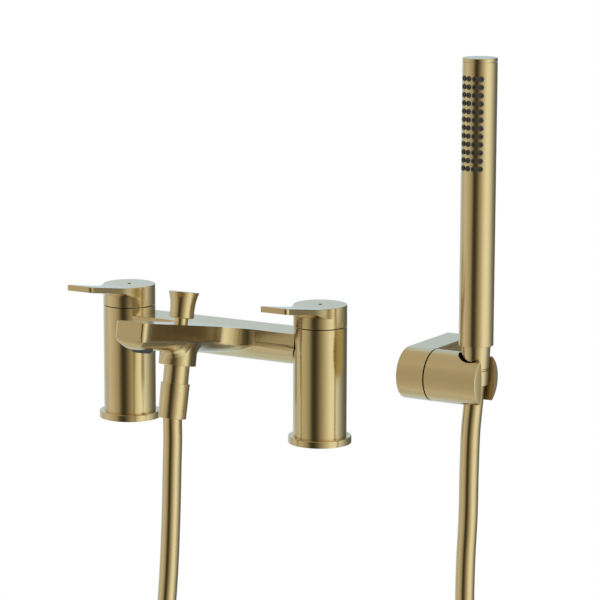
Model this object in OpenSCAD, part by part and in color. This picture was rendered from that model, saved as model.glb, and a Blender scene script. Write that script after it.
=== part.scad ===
/* [Mixer body] */
// Distance between the hot and cold inlet centres, in millimetres
inlet_spacing = 180; // [176:1:186]
// Diameter of each pillar
pillar_d = 42.4; // [41.6:0.2:44]
// Height of each pillar from the deck to the handle gap
pillar_h = 93; // [92:0.5:96]
// Diameter of the ring at the foot of each pillar
base_d = 50.2; // [48:0.2:54]
// Front to back size of the bridge between the pillars
bridge_depth = 32.4; // [30:0.4:34]

/* [Spout] */
// Reach from the line through the inlets to the front of the spout
spout_reach = 132; // [128:1:145]
// Angle at which the spout climbs towards its front, in degrees
spout_rise = 10.5; // [9:0.5:12]
// Width of the spout at its front
spout_tip_w = 30; // [28:0.5:33]

/* [Handles] */
// Reach of each lever from the middle of its cap
lever_reach = 71; // [64:1:78]
// Width of each lever
lever_w = 25.4; // [22:0.2:28]

/* [Diverter] */
// Widest diameter of the flared diverter knob
knob_d = 23.8; // [22.8:0.2:26]
// Lift of the knob that sends the water to the hose
knob_lift = 8; // [6:0.5:8.5]

/* [Handset] */
// Diameter of the handset tube
handset_d = 26.6; // [26:0.2:28]
// Length of the handset tube with its end cap
handset_len = 219.2; // [200:1:240]
// Number of rows of nozzles, with four nozzles in a row
nozzle_rows = 12; // [8:1:14]

/* [Wall bracket] */
// Diameter of the swivelling cradle
cradle_d = 40.4; // [40:0.2:43]
// Distance from the middle of the mixer to the handset, along the wall
bracket_x = 222.8; // [215:0.2:240]
// Distance from the cradle's pivot line back to the wall
wall_reach = 65.3; // [60:0.1:75]

/* [Hose] */
// Outside diameter of the hose
hose_d = 15; // [14:0.5:15]

/* [Hidden] */
$fn = 72;
eps = 0.02;
// how far a cut runs past the face that it opens
past = 1;

// gaps shared by mating pieces
slide_gap = 0.05;
turn_gap = 0.3;

// pillars and feet
pillar_r = pillar_d / 2;
pillar_x = inlet_spacing / 2;
base_r = base_d / 2;
base_top = 5.5;
base_edge = 0.9;
foot_r = 18;
gasket_t = 1.2;
gasket_r = base_r - 1.8;
inlet_r = 12.06;
inlet_depth = 15;
feed_r = 7.5;
foot_overlap = 1;
chamber_r = 14.2;
chamber_floor = pillar_h - 47;
gland_floor = pillar_h - 9;
gland_r = 16.8;

// cartridge, measured up from the chamber floor
cartridge_r = chamber_r - slide_gap;
cartridge_in_r = 11;
side_port_r = 5.5;
floor_port_r = 5;
disc_r = 10.6;
disc_t = 3.2;
disc_port_r = 2.8;
disc_port_x = 5.6;
seal_t = 1.6;
spindle_r = 4.5;
spindle_drive_r = 8;
spindle_drive_h = 6;
gland_top = pillar_h + 2;
gland_head_r = 14;
gland_inset = 0.5;
fixed_disc_up = 5;
fixed_disc_z = chamber_floor + fixed_disc_up;
moving_disc_z = fixed_disc_z + disc_t;
spindle_z = moving_disc_z + disc_t;
spindle_fit = 0.08;

// bridge
bridge_top = pillar_h - 5.7;
bridge_half = bridge_depth / 2;
bridge_face_h = 12.1;
bridge_keel = 15;
bridge_hole_r = 6;
spigot_r = 8;
spigot_len = 12;
spigot_z = bridge_top - 12.4;
spigot_end = pillar_x - chamber_r - 1.4;
seal_ring_r = 0.9;
seal_inset = 2.4;
seal_x = pillar_x - pillar_r + seal_inset;

// spout, in a frame whose floor is the spout's top face
bridge_lip = 0.8;
spout_start = bridge_half + bridge_lip;
spout_len = (spout_reach - spout_start) / cos(spout_rise);
spout_face_h = 12.1;
spout_under = 34;
spout_overlap = 4;
spout_back = 30;
spout_root_half = 16.2;
spout_tip_half = spout_tip_w / 2;
tip_corner = 4;
flare_r = 25;
keel_tip_r = spout_tip_half + 2.5;
keel_tip_up = 9;
keel_root_r = spout_root_half + 5.6;
keel_root_up = 12.3;
keel_root_y = -31.7;
keel_back = 14;
water_z = -14;
water_r = 4.5;
water_back = 10;

// diverter and outlet, on a line square to the spout's top face
diverter_y = -45;
chamber_div_r = 9.2;
chamber_div_top = -9;
chamber_div_low = -27;
outlet_hole_r = 6;
boss_r = 14.65;
boss_low = -32.2;
boss_flare_h = 7;
boss_flare_up = 5;
boss_sink = 6;
boss_flare = 2;
outlet_r = 10;
outlet_thread_r = 9.6;
outlet_root = -29.2;
nut_top = -46.3;
nut_low = -74;
nut_top_r = 11.4;
nut_low_r = 11;
outlet_end = -58;
washer_t = 1.5;
collar_t = 2;
hose_in = 4;
hose_fit = 0.2;
collar_low = outlet_end - washer_t - collar_t;
collar_inset = 0.1;
collar_in_r = outlet_hole_r - 1;
knob_low = 4.7;
knob_high = 24.5;
knob_body_r = 9.5;
stem_r = 5.25;
stem_rod_r = 3;
stem_low = chamber_div_top - knob_lift;
stem_screw_top = 15;
plunger_r = 8.2;
plunger_t = 4;
div_seal_t = 2;
stem_fit = 0.06;
gland_flush = 0.2;
gland_bush_r = 7.4;

// aerator
aerator_back = 19.5;
aerator_y = -(spout_len - aerator_back);
aerator_r = 8.9;
aerator_low = -23.4;
aerator_top = -12;
aerator_wall = 1.6;
aerator_edge = 2;
aerator_floor = 1.2;
aerator_seal_t = 1.5;
aerator_mouth_r = aerator_r - 3;
insert_r = aerator_r - aerator_wall - slide_gap;
insert_t = 7;
insert_hole_r = 1.5;
insert_ring_r = 4;

// handles
handle_z = pillar_h + 0.6;
handle_top = pillar_h + 17.2;
handle_cavity_h = 5;
cap_wall = 3.2;
spindle_top = handle_top - 5;
screw_z = handle_top - 9;
lever_half = lever_w / 2;
lever_lift = 8;
lever_t = 4.2;
lever_root_t = 5.2;
lever_flare_r = 16;
lever_corner = 2.5;
screw_r = 2;
screw_inset = 2.5;
handle_screw_len = pillar_r - spindle_r - screw_inset;
hex_r = 1.15;
hex_depth = 2;
dot_r = 1.25;
dot_t = 0.8;

// handset
pivot_z = pillar_h - 30;
pivot_y = 8;
handset_r = handset_d / 2;
handset_in_r = handset_r - 1.7;
shoulder_z = pivot_z + 27.2;
handset_top = shoulder_z + handset_len;
cap_t = 2.8;
cap_gap = 0.35;
cap_plug_h = 7;
stem_top_r = 11.2;
stem_join_z = pivot_z + 9.9;
stem_join_r = 10.3;
nut_join_z = pivot_z + 8;
nut_join_r = 10.2;
hand_nut_z = pivot_z - 3.4;
hand_nut_r = 9.6;
stem_plug_h = 12;
hand_thread_r = 8;
hand_bore_r = 4.5;
ring_groove_r = 9.9;
ring_groove_gap = 0.2;
hand_collar_z = hand_nut_z + hose_in;
hand_washer_z = hand_collar_z + collar_t;
stem_low_z = hand_washer_z + washer_t;
mat_t = 0.9;
mat_r = handset_in_r - 0.1;
core_r = mat_r - mat_t - 0.1;
core_in_r = core_r - 2;
nozzle_pitch = 6.14;
nozzle_top = handset_top - 15.1;
nozzle_angles = [-32.4, -10.8, 10.8, 32.4];
nozzle_r = 2;
nozzle_hole_r = 0.5;
nozzle_proud = 0.35;
nozzle_span = (nozzle_rows - 1) * nozzle_pitch;
mat_over = 5;
mat_low = nozzle_top - nozzle_span - mat_over;
mat_h = nozzle_span + 2 * mat_over;
mat_reach = 30;
core_slot_w = 12;
core_slot_over = 4;
core_top_wall = 3;
cap_edge = 0.5;
cap_plug_up = 0.5;

// wall bracket and cradle
hose_r = hose_d / 2;
cradle_r = cradle_d / 2;
wall_y = pivot_y + wall_reach;
block_w = 22.8;
cradle_len = 43.2;
bracket_gap = 0.9;
rim_x = bracket_x + 8.7;
gap_x = rim_x - cradle_len - bracket_gap;
block_x = gap_x - block_w;
dome_h = 1.4;
slot_half = 10.65;
bore_top_r = 13.4;
bore_low_r = 11.9;
liner_funnel_r = 12.6;
liner_seat_top = 10;
liner_seat_low = -8;
liner_floor = -15;
liner_gap = 0.3;
hub_r = 9;
hub_in = 8;
axle_r = 3;
axle_head_r = 6;
axle_head_t = 3;
web_t = 7.5;
block_wall = 3.2;
plate_t = 4;
plate_hole_r = 2.3;
plate_hole_spacing = 20;
panel_t = 1.2;
panel_inset = 2.2;
panel_gap = 0.15;
panel_front = cradle_r - 1;
hollow_front = 16;
hub_fit = 0.08;
hub_root = 2;
lock_screw_y = wall_y - 8;
lock_screw_x = block_x + 7.5;
lock_screw_up = 0.8;
lock_screw_len = block_wall + plate_t + 0.6;
plate_fit = 0.2;
plate_back_t = 3;
plate_foot_out = 14;
plate_foot_len = 12;
washer_rim = 3;
washer_fit = 0.5;
dome_steps = 6;
slot_len = rim_x - bracket_x + dome_h + past;
axle_grip = 8;
axle_hole_past = 3;
axle_hex_r = 2;
liner_low_r = hose_r + 2.2;
liner_mouth_z = 16.5;
liner_mouth_flare = 0.2;

// the hose hangs in a loop between the spout's outlet and the handset
hose_sides = 12;
mixer_exit = spout_point(diverter_y, nut_low + hose_in);
handset_exit = [bracket_x, pivot_y, hand_nut_z + hose_in];
// each row: share of the way along to the second end, share of the lean away from the wall, height above the end
hose_left = [[0, 0, 0], [0.004, 0.56, -10], [0.007, 0.94, -22], [0.005, 1, -42], [0, 1, -85], [-0.01, 1, -135],
    [-0.03, 1, -190], [-0.06, 1, -245], [-0.1, 1, -300], [-0.12, 1, -355]];
hose_bottom = [[-0.11, 1, -408], [-0.015, 1, -455], [0.14, 1, -492], [0.33, 1, -514], [0.5, 1, -519],
    [0.67, 1, -514], [0.86, 1, -492], [1.015, 1, -455], [1.105, 1, -408]];
hose_right = [[1.125, 1, -400], [1.11, 1, -355], [1.08, 1, -310], [1.035, 1, -268], [0.997, 1, -228], [0.977, 1, -189],
    [0.976, 1, -149], [0.982, 1, -109], [0.9835, 1, -74], [0.9865, 1, -42], [0.9945, 1, -18], [1, 1, 0]];
hose_lean = 3.2;
hose_steps = 2;
hose_split = 5;

brass = [0.66, 0.55, 0.36];
plain_brass = [0.78, 0.66, 0.4];
rubber = [0.12, 0.12, 0.13];
plastic = [0.25, 0.26, 0.28];
pale_plastic = [0.75, 0.76, 0.78];
red = [0.6, 0.1, 0.1];
blue = [0.1, 0.2, 0.6];
steel = [0.7, 0.71, 0.73];
ceramic = [0.9, 0.9, 0.88];

function spout_point(y, z) = [0, -spout_start + y * cos(spout_rise) + z * sin(spout_rise),
    bridge_top - y * sin(spout_rise) + z * cos(spout_rise)];

// points of an arc about [cx, cy]
function arc(cx, cy, r, a0, a1, n) = [for (i = [0:n]) let (a = a0 + (a1 - a0) * i / n) [cx + r * cos(a), cy + r * sin(a)]];
function mirrored(list) = [for (i = [len(list) - 1:-1:0]) [-list[i][0], list[i][1]]];

module at_spout() {
    translate([0, -spout_start, bridge_top])
        rotate([-spout_rise, 0, 0])
            children();
}

module at_diverter() {
    at_spout()
        translate([0, diverter_y, 0])
            children();
}

module ring(outer, inner, low, high) {
    translate([0, 0, low])
        difference() {
            cylinder(r = outer, h = high - low);
            translate([0, 0, -eps])
                cylinder(r = inner, h = high - low + 2 * eps);
        }
}

// bridge section, looking along the bridge
function bridge_section() = let (b = bridge_half, f = bridge_top - bridge_face_h, k = bridge_keel)
    [[-b, bridge_top], [-b, f], [-0.88 * b, f - 0.26 * k], [-0.72 * b, f - 0.51 * k], [-0.53 * b, f - 0.73 * k],
    [-0.32 * b, f - 0.9 * k], [-0.11 * b, f - k], [0.11 * b, f - k], [0.32 * b, f - 0.9 * k], [0.53 * b, f - 0.73 * k],
    [0.72 * b, f - 0.51 * k], [0.88 * b, f - 0.26 * k], [b, f], [b, bridge_top]];

// outline of the spout in plan, from the bridge to the front and back
function spout_side() = concat(
    arc(spout_root_half + flare_r, bridge_lip - flare_r, flare_r, 90, 180, 10),
    arc(spout_tip_half - tip_corner, -spout_len + tip_corner, tip_corner, 0, -90, 5));
function spout_plan() = let (w = spout_root_half + flare_r)
    concat([[w, spout_overlap]], spout_side(), mirrored(spout_side()), [[-w, spout_overlap]]);

// side view of the spout, along and up
function spout_profile() = let (l = -spout_len, f = -spout_face_h)
    [[spout_back, 0], [l, 0], [l, f], [l + 0.5, f - 2.7], [l + 1.5, f - 4.5], [l + 3, f - 6.2], [l + 6, f - 8.1], [l + 9, f - 9.1],
    [l + 12, f - 9.4], [l + 25, f - 10], [-20, -spout_under], [spout_back, -spout_under]];

module along_x(low, high) {
    translate([low, 0, 0])
        rotate([90, 0, 90])
            linear_extrude(high - low)
                children();
}

module spout_keel() {
    slope_r = (keel_root_r - keel_tip_r) / (spout_len + keel_root_y);
    slope_z = (keel_root_up - keel_tip_up) / (spout_len + keel_root_y);
    run = spout_len + keel_back;
    tilt = atan(slope_z);
    intersection() {
        translate([0, 0, -spout_under])
            linear_extrude(spout_under - spout_face_h + past)
                polygon(spout_plan());
        translate([0, -spout_len, keel_tip_up - spout_face_h])
            rotate([-90 + tilt, 0, 0])
                cylinder(r1 = keel_tip_r, r2 = keel_tip_r + slope_r * run, h = run);
    }
}

module spout_solid() {
    at_spout()
        intersection() {
            union() {
                translate([0, 0, -spout_face_h])
                    linear_extrude(spout_face_h)
                        polygon(spout_plan());
                spout_keel();
            }
            along_x(-spout_root_half - flare_r, spout_root_half + flare_r)
                polygon(spout_profile());
        }
}

module mixer_body() {
    color(brass)
    difference() {
        union() {
            intersection() {
                along_x(-pillar_x, pillar_x)
                    polygon(bridge_section());
                difference() {
                    translate([-pillar_x, -bridge_half - past, 0])
                        cube([inlet_spacing, bridge_depth + 2 * past, pillar_h]);
                    for (side = [-1, 1])
                        translate([side * pillar_x, 0, 0])
                            cylinder(r = pillar_r + turn_gap, h = pillar_h);
                }
            }
            spout_solid();
            at_diverter() {
                translate([0, 0, boss_low])
                    cylinder(r = boss_r, h = -boss_low - boss_sink);
                translate([0, 0, boss_low + boss_flare_up])
                    cylinder(r1 = boss_r, r2 = boss_r + boss_flare, h = boss_flare_h);
            }
            for (side = [-1, 1])
                translate([side * (spigot_end - spigot_len), 0, spigot_z])
                    rotate([0, side * 90, 0])
                        cylinder(r = spigot_r, h = spigot_len);
        }
        // waterway along the bridge
        translate([-pillar_x, 0, spigot_z])
            rotate([0, 90, 0])
                cylinder(r = bridge_hole_r, h = inlet_spacing);
        // grooves for the seals at the two ends of the bridge
        for (side = [-1, 1])
            translate([side * seal_x, 0, spigot_z])
                rotate([0, side * 90, 0])
                    ring(spigot_r + past, spigot_r - seal_ring_r, 0, 2 * seal_ring_r);
        at_spout() {
            // waterway out to the aerator
            translate([0, aerator_y, water_z])
                rotate([-90, 0, 0])
                    cylinder(r = water_r, h = -aerator_y + water_back);
            translate([0, aerator_y, -spout_under])
                cylinder(r = aerator_r + slide_gap, h = spout_under + aerator_top);
        }
        at_diverter() {
            translate([0, 0, chamber_div_top - eps])
                cylinder(r = gland_bush_r, h = -chamber_div_top + past);
            translate([0, 0, chamber_div_low])
                cylinder(r = chamber_div_r, h = chamber_div_top - chamber_div_low);
            translate([0, 0, outlet_root])
                cylinder(r = outlet_hole_r, h = chamber_div_low - outlet_root + past);
            translate([0, 0, boss_low - past])
                cylinder(r = outlet_thread_r, h = outlet_root - boss_low + past);
        }
    }
}

module pillar(side) {
    color(brass)
    translate([side * pillar_x, 0, 0])
        difference() {
            union() {
                cylinder(r = foot_r, h = base_top + foot_overlap);
                translate([0, 0, base_top])
                    cylinder(r = pillar_r, h = pillar_h - base_top);
            }
            translate([0, 0, -eps])
                cylinder(r = inlet_r, h = inlet_depth + eps);
            cylinder(r = feed_r, h = chamber_floor + past);
            translate([0, 0, chamber_floor])
                cylinder(r = chamber_r, h = pillar_h);
            translate([0, 0, gland_floor])
                cylinder(r = gland_r, h = pillar_h);
            translate([0, 0, spigot_z])
                rotate([0, -side * 90, 0])
                    cylinder(r = spigot_r + slide_gap, h = pillar_r + past);
        }
}

module base_ring(side) {
    color(brass)
    translate([side * pillar_x, 0, 0])
        rotate_extrude()
            polygon([[foot_r + slide_gap, gasket_t], [gasket_r + slide_gap, gasket_t], [gasket_r + slide_gap, 0], [base_r, 0],
                [base_r, base_top - base_edge], [base_r - 0.35 * base_edge, base_top - 0.35 * base_edge],
                [base_r - base_edge, base_top], [foot_r + slide_gap, base_top]]);
}

module base_gasket(side) {
    color(rubber)
    translate([side * pillar_x, 0, 0])
        ring(gasket_r, foot_r + slide_gap, 0, gasket_t);
}

module bridge_seal(side) {
    color(rubber)
    translate([side * (seal_x + seal_ring_r), 0, spigot_z])
        rotate([0, 90, 0])
            rotate_extrude()
                translate([spigot_r - 0.5 * seal_ring_r + eps, 0])
                    circle(r = 0.5 * seal_ring_r, $fn = 24);
}

module cartridge(side) {
    color(plain_brass)
    translate([side * pillar_x, 0, 0])
        difference() {
            translate([0, 0, chamber_floor + seal_t])
                cylinder(r = cartridge_r, h = gland_floor - chamber_floor - seal_t);
            translate([0, 0, chamber_floor])
                cylinder(r = floor_port_r, h = fixed_disc_up + past);
            translate([0, 0, fixed_disc_z])
                cylinder(r = cartridge_in_r, h = pillar_h);
            for (turn = [0, 90])
                translate([0, 0, spigot_z])
                    rotate([0, 90, turn])
                        translate([0, 0, -cartridge_r - past])
                            cylinder(r = side_port_r, h = 2 * (cartridge_r + past));
        }
}

module port_seal(side) {
    color(rubber)
    translate([side * pillar_x, 0, 0])
        ring(cartridge_r - seal_inset, feed_r + 0.5 * seal_ring_r, chamber_floor, chamber_floor + seal_t);
}

module fixed_disc(side) {
    color(ceramic)
    translate([side * pillar_x, 0, fixed_disc_z])
        difference() {
            cylinder(r = disc_r, h = disc_t);
            for (turn = [0, 180])
                rotate(turn)
                    translate([disc_port_x, 0, -past])
                        cylinder(r = disc_port_r, h = disc_t + 2 * past);
        }
}

module moving_disc(side) {
    color(ceramic)
    translate([side * pillar_x, 0, moving_disc_z])
        difference() {
            cylinder(r = disc_r, h = disc_t);
            for (turn = [90, 270])
                rotate(turn)
                    translate([disc_port_x, 0, -past])
                        cylinder(r = disc_port_r, h = disc_t + 2 * past);
        }
}

module spindle(side) {
    color(plain_brass)
    translate([side * pillar_x, 0, 0]) {
        translate([0, 0, spindle_z])
            cylinder(r = spindle_drive_r, h = spindle_drive_h);
        translate([0, 0, spindle_z + spindle_drive_h - foot_overlap])
            cylinder(r = spindle_r, h = spindle_top - spindle_z - spindle_drive_h + foot_overlap);
    }
}

module gland(side) {
    color(plain_brass)
    translate([side * pillar_x, 0, 0])
        difference() {
            union() {
                translate([0, 0, gland_floor])
                    cylinder(r = gland_r - slide_gap, h = pillar_h - gland_inset - gland_floor);
                translate([0, 0, pillar_h - 2 * gland_inset])
                    cylinder(r = gland_head_r, h = gland_top - pillar_h + 2 * gland_inset, $fn = 6);
            }
            translate([0, 0, gland_floor - past])
                cylinder(r = spindle_r + spindle_fit, h = gland_top);
        }
}

function lever_side() = let (y = -sqrt(pow(pillar_r + lever_flare_r, 2) - pow(lever_half + lever_flare_r, 2)),
    a = atan2(-y, -lever_half - lever_flare_r))
    concat(arc(lever_half + lever_flare_r, y, lever_flare_r, a, 180, 6),
        arc(lever_half - lever_corner, -lever_reach + lever_corner, lever_corner, 0, -90, 5));

// side view of a lever: reach from the middle of the cap, and height
function lever_profile() = let (r = lever_reach, u = handle_top, l = lever_lift, t = lever_t, b = lever_root_t)
    [[1, u], [-14, u], [-19, u + 0.02 * l], [-24, u + 0.07 * l], [-29, u + 0.16 * l], [-34, u + 0.27 * l],
    [-r - 1, u + l + 0.15], [-r - 1, u + l + 0.15 - t], [-34, u + 0.27 * l - 0.95 * t], [-29, u + 0.16 * l - t],
    [-24, u + 0.07 * l - b], [-19, u - b - 0.2], [1, u - b - 0.2]];

module handle(side) {
    color(brass)
    translate([side * pillar_x, 0, 0])
        difference() {
            union() {
                translate([0, 0, handle_z])
                    cylinder(r = pillar_r, h = handle_top - handle_z);
                intersection() {
                    translate([0, 0, handle_z])
                        linear_extrude(2 * (handle_top - handle_z))
                            polygon(concat([[0, 0]], lever_side(), mirrored(lever_side())));
                    along_x(-pillar_r, pillar_r)
                        polygon(lever_profile());
                }
            }
            translate([0, 0, handle_z - past])
                cylinder(r = pillar_r - cap_wall, h = handle_cavity_h + past);
            translate([0, 0, handle_z - past])
                cylinder(r = spindle_r, h = spindle_top - handle_z + past);
            translate([0, 0, handle_top - dot_t])
                cylinder(r = dot_r, h = dot_t + past);
            translate([0, 0, screw_z])
                rotate([-90, 0, 0])
                    cylinder(r = screw_r, h = pillar_r + past);
        }
}

module handle_screw(side) {
    color(steel)
    translate([side * pillar_x, spindle_r, screw_z])
        rotate([-90, 0, 0])
            difference() {
                cylinder(r = screw_r, h = handle_screw_len);
                translate([0, 0, handle_screw_len - hex_depth])
                    cylinder(r = hex_r, h = hex_depth + past, $fn = 6);
            }
}

module dot(side, tint) {
    color(tint)
    translate([side * pillar_x, 0, handle_top - dot_t])
        cylinder(r = dot_r, h = dot_t);
}

module aerator_housing() {
    color(plastic)
    at_spout()
        translate([0, aerator_y, 0])
            difference() {
                union() {
                    translate([0, 0, aerator_low + aerator_edge])
                        cylinder(r = aerator_r, h = aerator_top - aerator_seal_t - aerator_low - aerator_edge);
                    translate([0, 0, aerator_low])
                        cylinder(r1 = aerator_r - 1.8, r2 = aerator_r, h = aerator_edge);
                }
                translate([0, 0, aerator_low + aerator_floor])
                    cylinder(r = aerator_r - aerator_wall, h = aerator_top - aerator_low);
                translate([0, 0, aerator_low - past])
                    cylinder(r = aerator_mouth_r, h = aerator_floor + 2 * past);
            }
}

module aerator_insert() {
    color(pale_plastic)
    at_spout()
        translate([0, aerator_y, aerator_low + aerator_floor])
            difference() {
                cylinder(r = insert_r, h = insert_t);
                for (turn = [0:60:300])
                    rotate(turn)
                        translate([insert_ring_r, 0, -past])
                            cylinder(r = insert_hole_r, h = insert_t + 2 * past);
                translate([0, 0, -past])
                    cylinder(r = insert_hole_r, h = insert_t + 2 * past);
            }
}

module aerator_seal() {
    color(rubber)
    at_spout()
        translate([0, aerator_y, 0])
            ring(aerator_r, aerator_mouth_r, aerator_top - aerator_seal_t, aerator_top);
}

module diverter_knob() {
    color(brass)
    at_diverter()
        rotate_extrude()
            polygon([[stem_rod_r, knob_low], [knob_body_r - 0.5, knob_low], [knob_body_r, knob_low + 0.5], [knob_body_r, knob_low + 6],
                [knob_body_r + 0.15, knob_low + 9], [knob_body_r + 0.45, knob_low + 12], [knob_body_r + 0.95, knob_low + 14.5],
                [knob_body_r + 1.55, knob_low + 16.7], [knob_d / 2 - 0.15, knob_high - 1.2], [knob_d / 2, knob_high - 0.4],
                [knob_d / 2 - 0.3, knob_high], [0, knob_high], [0, stem_screw_top], [stem_rod_r, stem_screw_top]]);
}

module diverter_stem() {
    color(plain_brass)
    at_diverter() {
        translate([0, 0, stem_low])
            cylinder(r = stem_r, h = knob_low - stem_low);
        translate([0, 0, chamber_div_low + div_seal_t])
            cylinder(r = stem_rod_r, h = stem_screw_top - chamber_div_low - div_seal_t);
        translate([0, 0, chamber_div_low + div_seal_t])
            cylinder(r = plunger_r, h = plunger_t);
    }
}

module diverter_seal() {
    color(rubber)
    at_diverter()
        translate([0, 0, chamber_div_low])
            cylinder(r = plunger_r, h = div_seal_t);
}

module diverter_gland() {
    color(plain_brass)
    at_diverter()
        ring(gland_bush_r - slide_gap, stem_r + stem_fit, chamber_div_top, -gland_flush);
}

module outlet_spigot() {
    color(brass)
    at_diverter()
        difference() {
            union() {
                translate([0, 0, nut_top])
                    cylinder(r = outlet_r, h = boss_low - nut_top);
                translate([0, 0, boss_low - foot_overlap])
                    cylinder(r = outlet_thread_r - slide_gap, h = outlet_root - boss_low + foot_overlap);
                translate([0, 0, outlet_end])
                    cylinder(r = outlet_thread_r, h = nut_top - outlet_end + foot_overlap);
            }
            translate([0, 0, outlet_end - past])
                cylinder(r = outlet_hole_r, h = outlet_root - outlet_end + 2 * past);
        }
}

module mixer_hose_nut() {
    color(brass)
    at_diverter()
        difference() {
            translate([0, 0, nut_low])
                cylinder(r1 = nut_low_r, r2 = nut_top_r, h = nut_top - nut_low);
            translate([0, 0, collar_low - eps])
                cylinder(r = outlet_thread_r + slide_gap, h = nut_top - collar_low + past);
            translate([0, 0, nut_low - past])
                cylinder(r = hose_r + hose_fit, h = collar_low - nut_low + 2 * past);
        }
}

module mixer_hose_washer() {
    color(rubber)
    at_diverter()
        ring(outlet_thread_r - collar_inset, outlet_hole_r, outlet_end - washer_t, outlet_end);
}

module mixer_hose_collar() {
    color(plain_brass)
    at_diverter() {
        ring(outlet_thread_r - collar_inset, collar_in_r, collar_low, outlet_end - washer_t);
        ring(hose_r, collar_in_r, nut_low + hose_in, collar_low + eps);
    }
}

// a point on the hose from its shares and its height
function hose_at(p, base) = let (along = mixer_exit[0] + (handset_exit[0] - mixer_exit[0]) * p[0],
    out = mixer_exit[1] - hose_lean * p[1] + (handset_exit[1] - mixer_exit[1] + hose_lean) * p[0])
    [along, out, base + p[2]];
function hose_controls() = concat([for (p = concat(hose_left, hose_bottom)) hose_at(p, mixer_exit[2])],
    [for (p = hose_right) hose_at(p, handset_exit[2])]);
function along_curve(p, i, t) = let (n = len(p) - 1, a = p[max(i - 1, 0)], b = p[i], c = p[min(i + 1, n)], d = p[min(i + 2, n)])
    0.5 * (2 * b + (c - a) * t + (2 * a - 5 * b + 4 * c - d) * t * t + (3 * b - a - 3 * c + d) * t * t * t);
function smooth_path(p) = [for (i = [0:len(p) - 2]) for (k = [0:hose_steps - 1]) along_curve(p, i, k / hose_steps),
    p[len(p) - 1]];
function unit(v) = v / norm(v);
function ring_at(c, heading, r) = let (side = unit(cross([0, 1, 0], heading)), up = cross(heading, side))
    [for (k = [0:hose_sides - 1]) c + r * (cos(360 * k / hose_sides) * side + sin(360 * k / hose_sides) * up)];

module tube_along(points, first, last, r) {
    n = len(points);
    headings = [for (i = [0:n - 1]) i == 0 ? first : i == n - 1 ? last :
        unit(unit(points[i + 1] - points[i]) + unit(points[i] - points[i - 1]))];
    rings = [for (i = [0:n - 1]) each ring_at(points[i], headings[i], r)];
    s = hose_sides;
    walls = [for (i = [0:n - 2]) for (k = [0:s - 1]) each
        [[i * s + k, (i + 1) * s + k, i * s + (k + 1) % s], [i * s + (k + 1) % s, (i + 1) * s + k, (i + 1) * s + (k + 1) % s]]];
    ends = [[for (k = [0:s - 1]) k], [for (k = [s - 1:-1:0]) (n - 1) * s + k]];
    polyhedron(points = rings, faces = concat(ends, walls), convexity = 10);
}

hose_path = smooth_path(hose_controls());
hose_end = len(hose_path) - 1;
split_at = hose_end - hose_split * hose_steps;
split_heading = unit(hose_path[split_at + 1] - hose_path[split_at - 1]);

module hose() {
    color(brass)
    tube_along([for (i = [0:split_at]) hose_path[i]], [0, -sin(spout_rise), -cos(spout_rise)], split_heading, hose_r);
}

module hose_top() {
    color(brass)
    tube_along([for (i = [split_at:hose_end]) hose_path[i]], split_heading, [0, 0, 1], hose_r);
}

module at_handset() {
    translate([bracket_x, pivot_y, 0])
        children();
}

module handset_hose_nut() {
    color(brass)
    at_handset()
        difference() {
            translate([0, 0, hand_nut_z])
                cylinder(r1 = hand_nut_r, r2 = nut_join_r, h = nut_join_z - hand_nut_z);
            translate([0, 0, hand_collar_z + past])
                cylinder(r = hand_thread_r + slide_gap, h = nut_join_z - hand_collar_z);
            translate([0, 0, hand_nut_z - past])
                cylinder(r = hose_r + hose_fit, h = hose_in + 3 * past);
        }
}

module handset_hose_collar() {
    color(plain_brass)
    at_handset()
        ring(hose_r + hose_fit - slide_gap, hand_bore_r, hand_collar_z, hand_washer_z);
}

module handset_hose_washer() {
    color(rubber)
    at_handset()
        ring(hand_thread_r - collar_inset, hand_bore_r, hand_washer_z, stem_low_z);
}

module handset_stem() {
    color(brass)
    at_handset()
        difference() {
            union() {
                translate([0, 0, stem_low_z])
                    cylinder(r = hand_thread_r, h = stem_join_z - stem_low_z + foot_overlap);
                translate([0, 0, nut_join_z + ring_groove_gap])
                    cylinder(r = ring_groove_r, h = stem_join_z - nut_join_z);
                translate([0, 0, stem_join_z])
                    cylinder(r1 = stem_join_r, r2 = stem_top_r, h = shoulder_z - stem_join_z);
                translate([0, 0, shoulder_z - foot_overlap])
                    cylinder(r = handset_in_r - slide_gap, h = stem_plug_h + foot_overlap);
            }
            translate([0, 0, hand_nut_z])
                cylinder(r = hand_bore_r, h = shoulder_z - hand_nut_z + stem_plug_h + past);
        }
}

module each_nozzle() {
    for (row = [0:nozzle_rows - 1])
        for (angle = nozzle_angles)
            translate([0, 0, nozzle_top - row * nozzle_pitch])
                rotate([90, 0, angle])
                    let ($fn = 16)
                        children();
}

module handset_tube() {
    color(brass)
    at_handset()
        difference() {
            translate([0, 0, shoulder_z])
                cylinder(r = handset_r, h = handset_len - cap_t - cap_gap);
            translate([0, 0, shoulder_z - past])
                cylinder(r = handset_in_r, h = handset_len);
            each_nozzle()
                translate([0, 0, handset_in_r - past])
                    cylinder(r = nozzle_r + slide_gap, h = handset_r - handset_in_r + 2 * past);
        }
}

module handset_core() {
    color(plastic)
    at_handset()
        difference() {
            translate([0, 0, shoulder_z + stem_plug_h])
                cylinder(r = core_r, h = handset_len - cap_t - cap_gap - cap_plug_h - stem_plug_h);
            translate([0, 0, shoulder_z])
                cylinder(r = core_in_r, h = handset_len - cap_t - cap_plug_h - core_top_wall);
            translate([-core_slot_w / 2, -core_r - past, nozzle_top - nozzle_span - core_slot_over])
                cube([core_slot_w, core_r, nozzle_span + 2 * core_slot_over]);
        }
}

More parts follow.
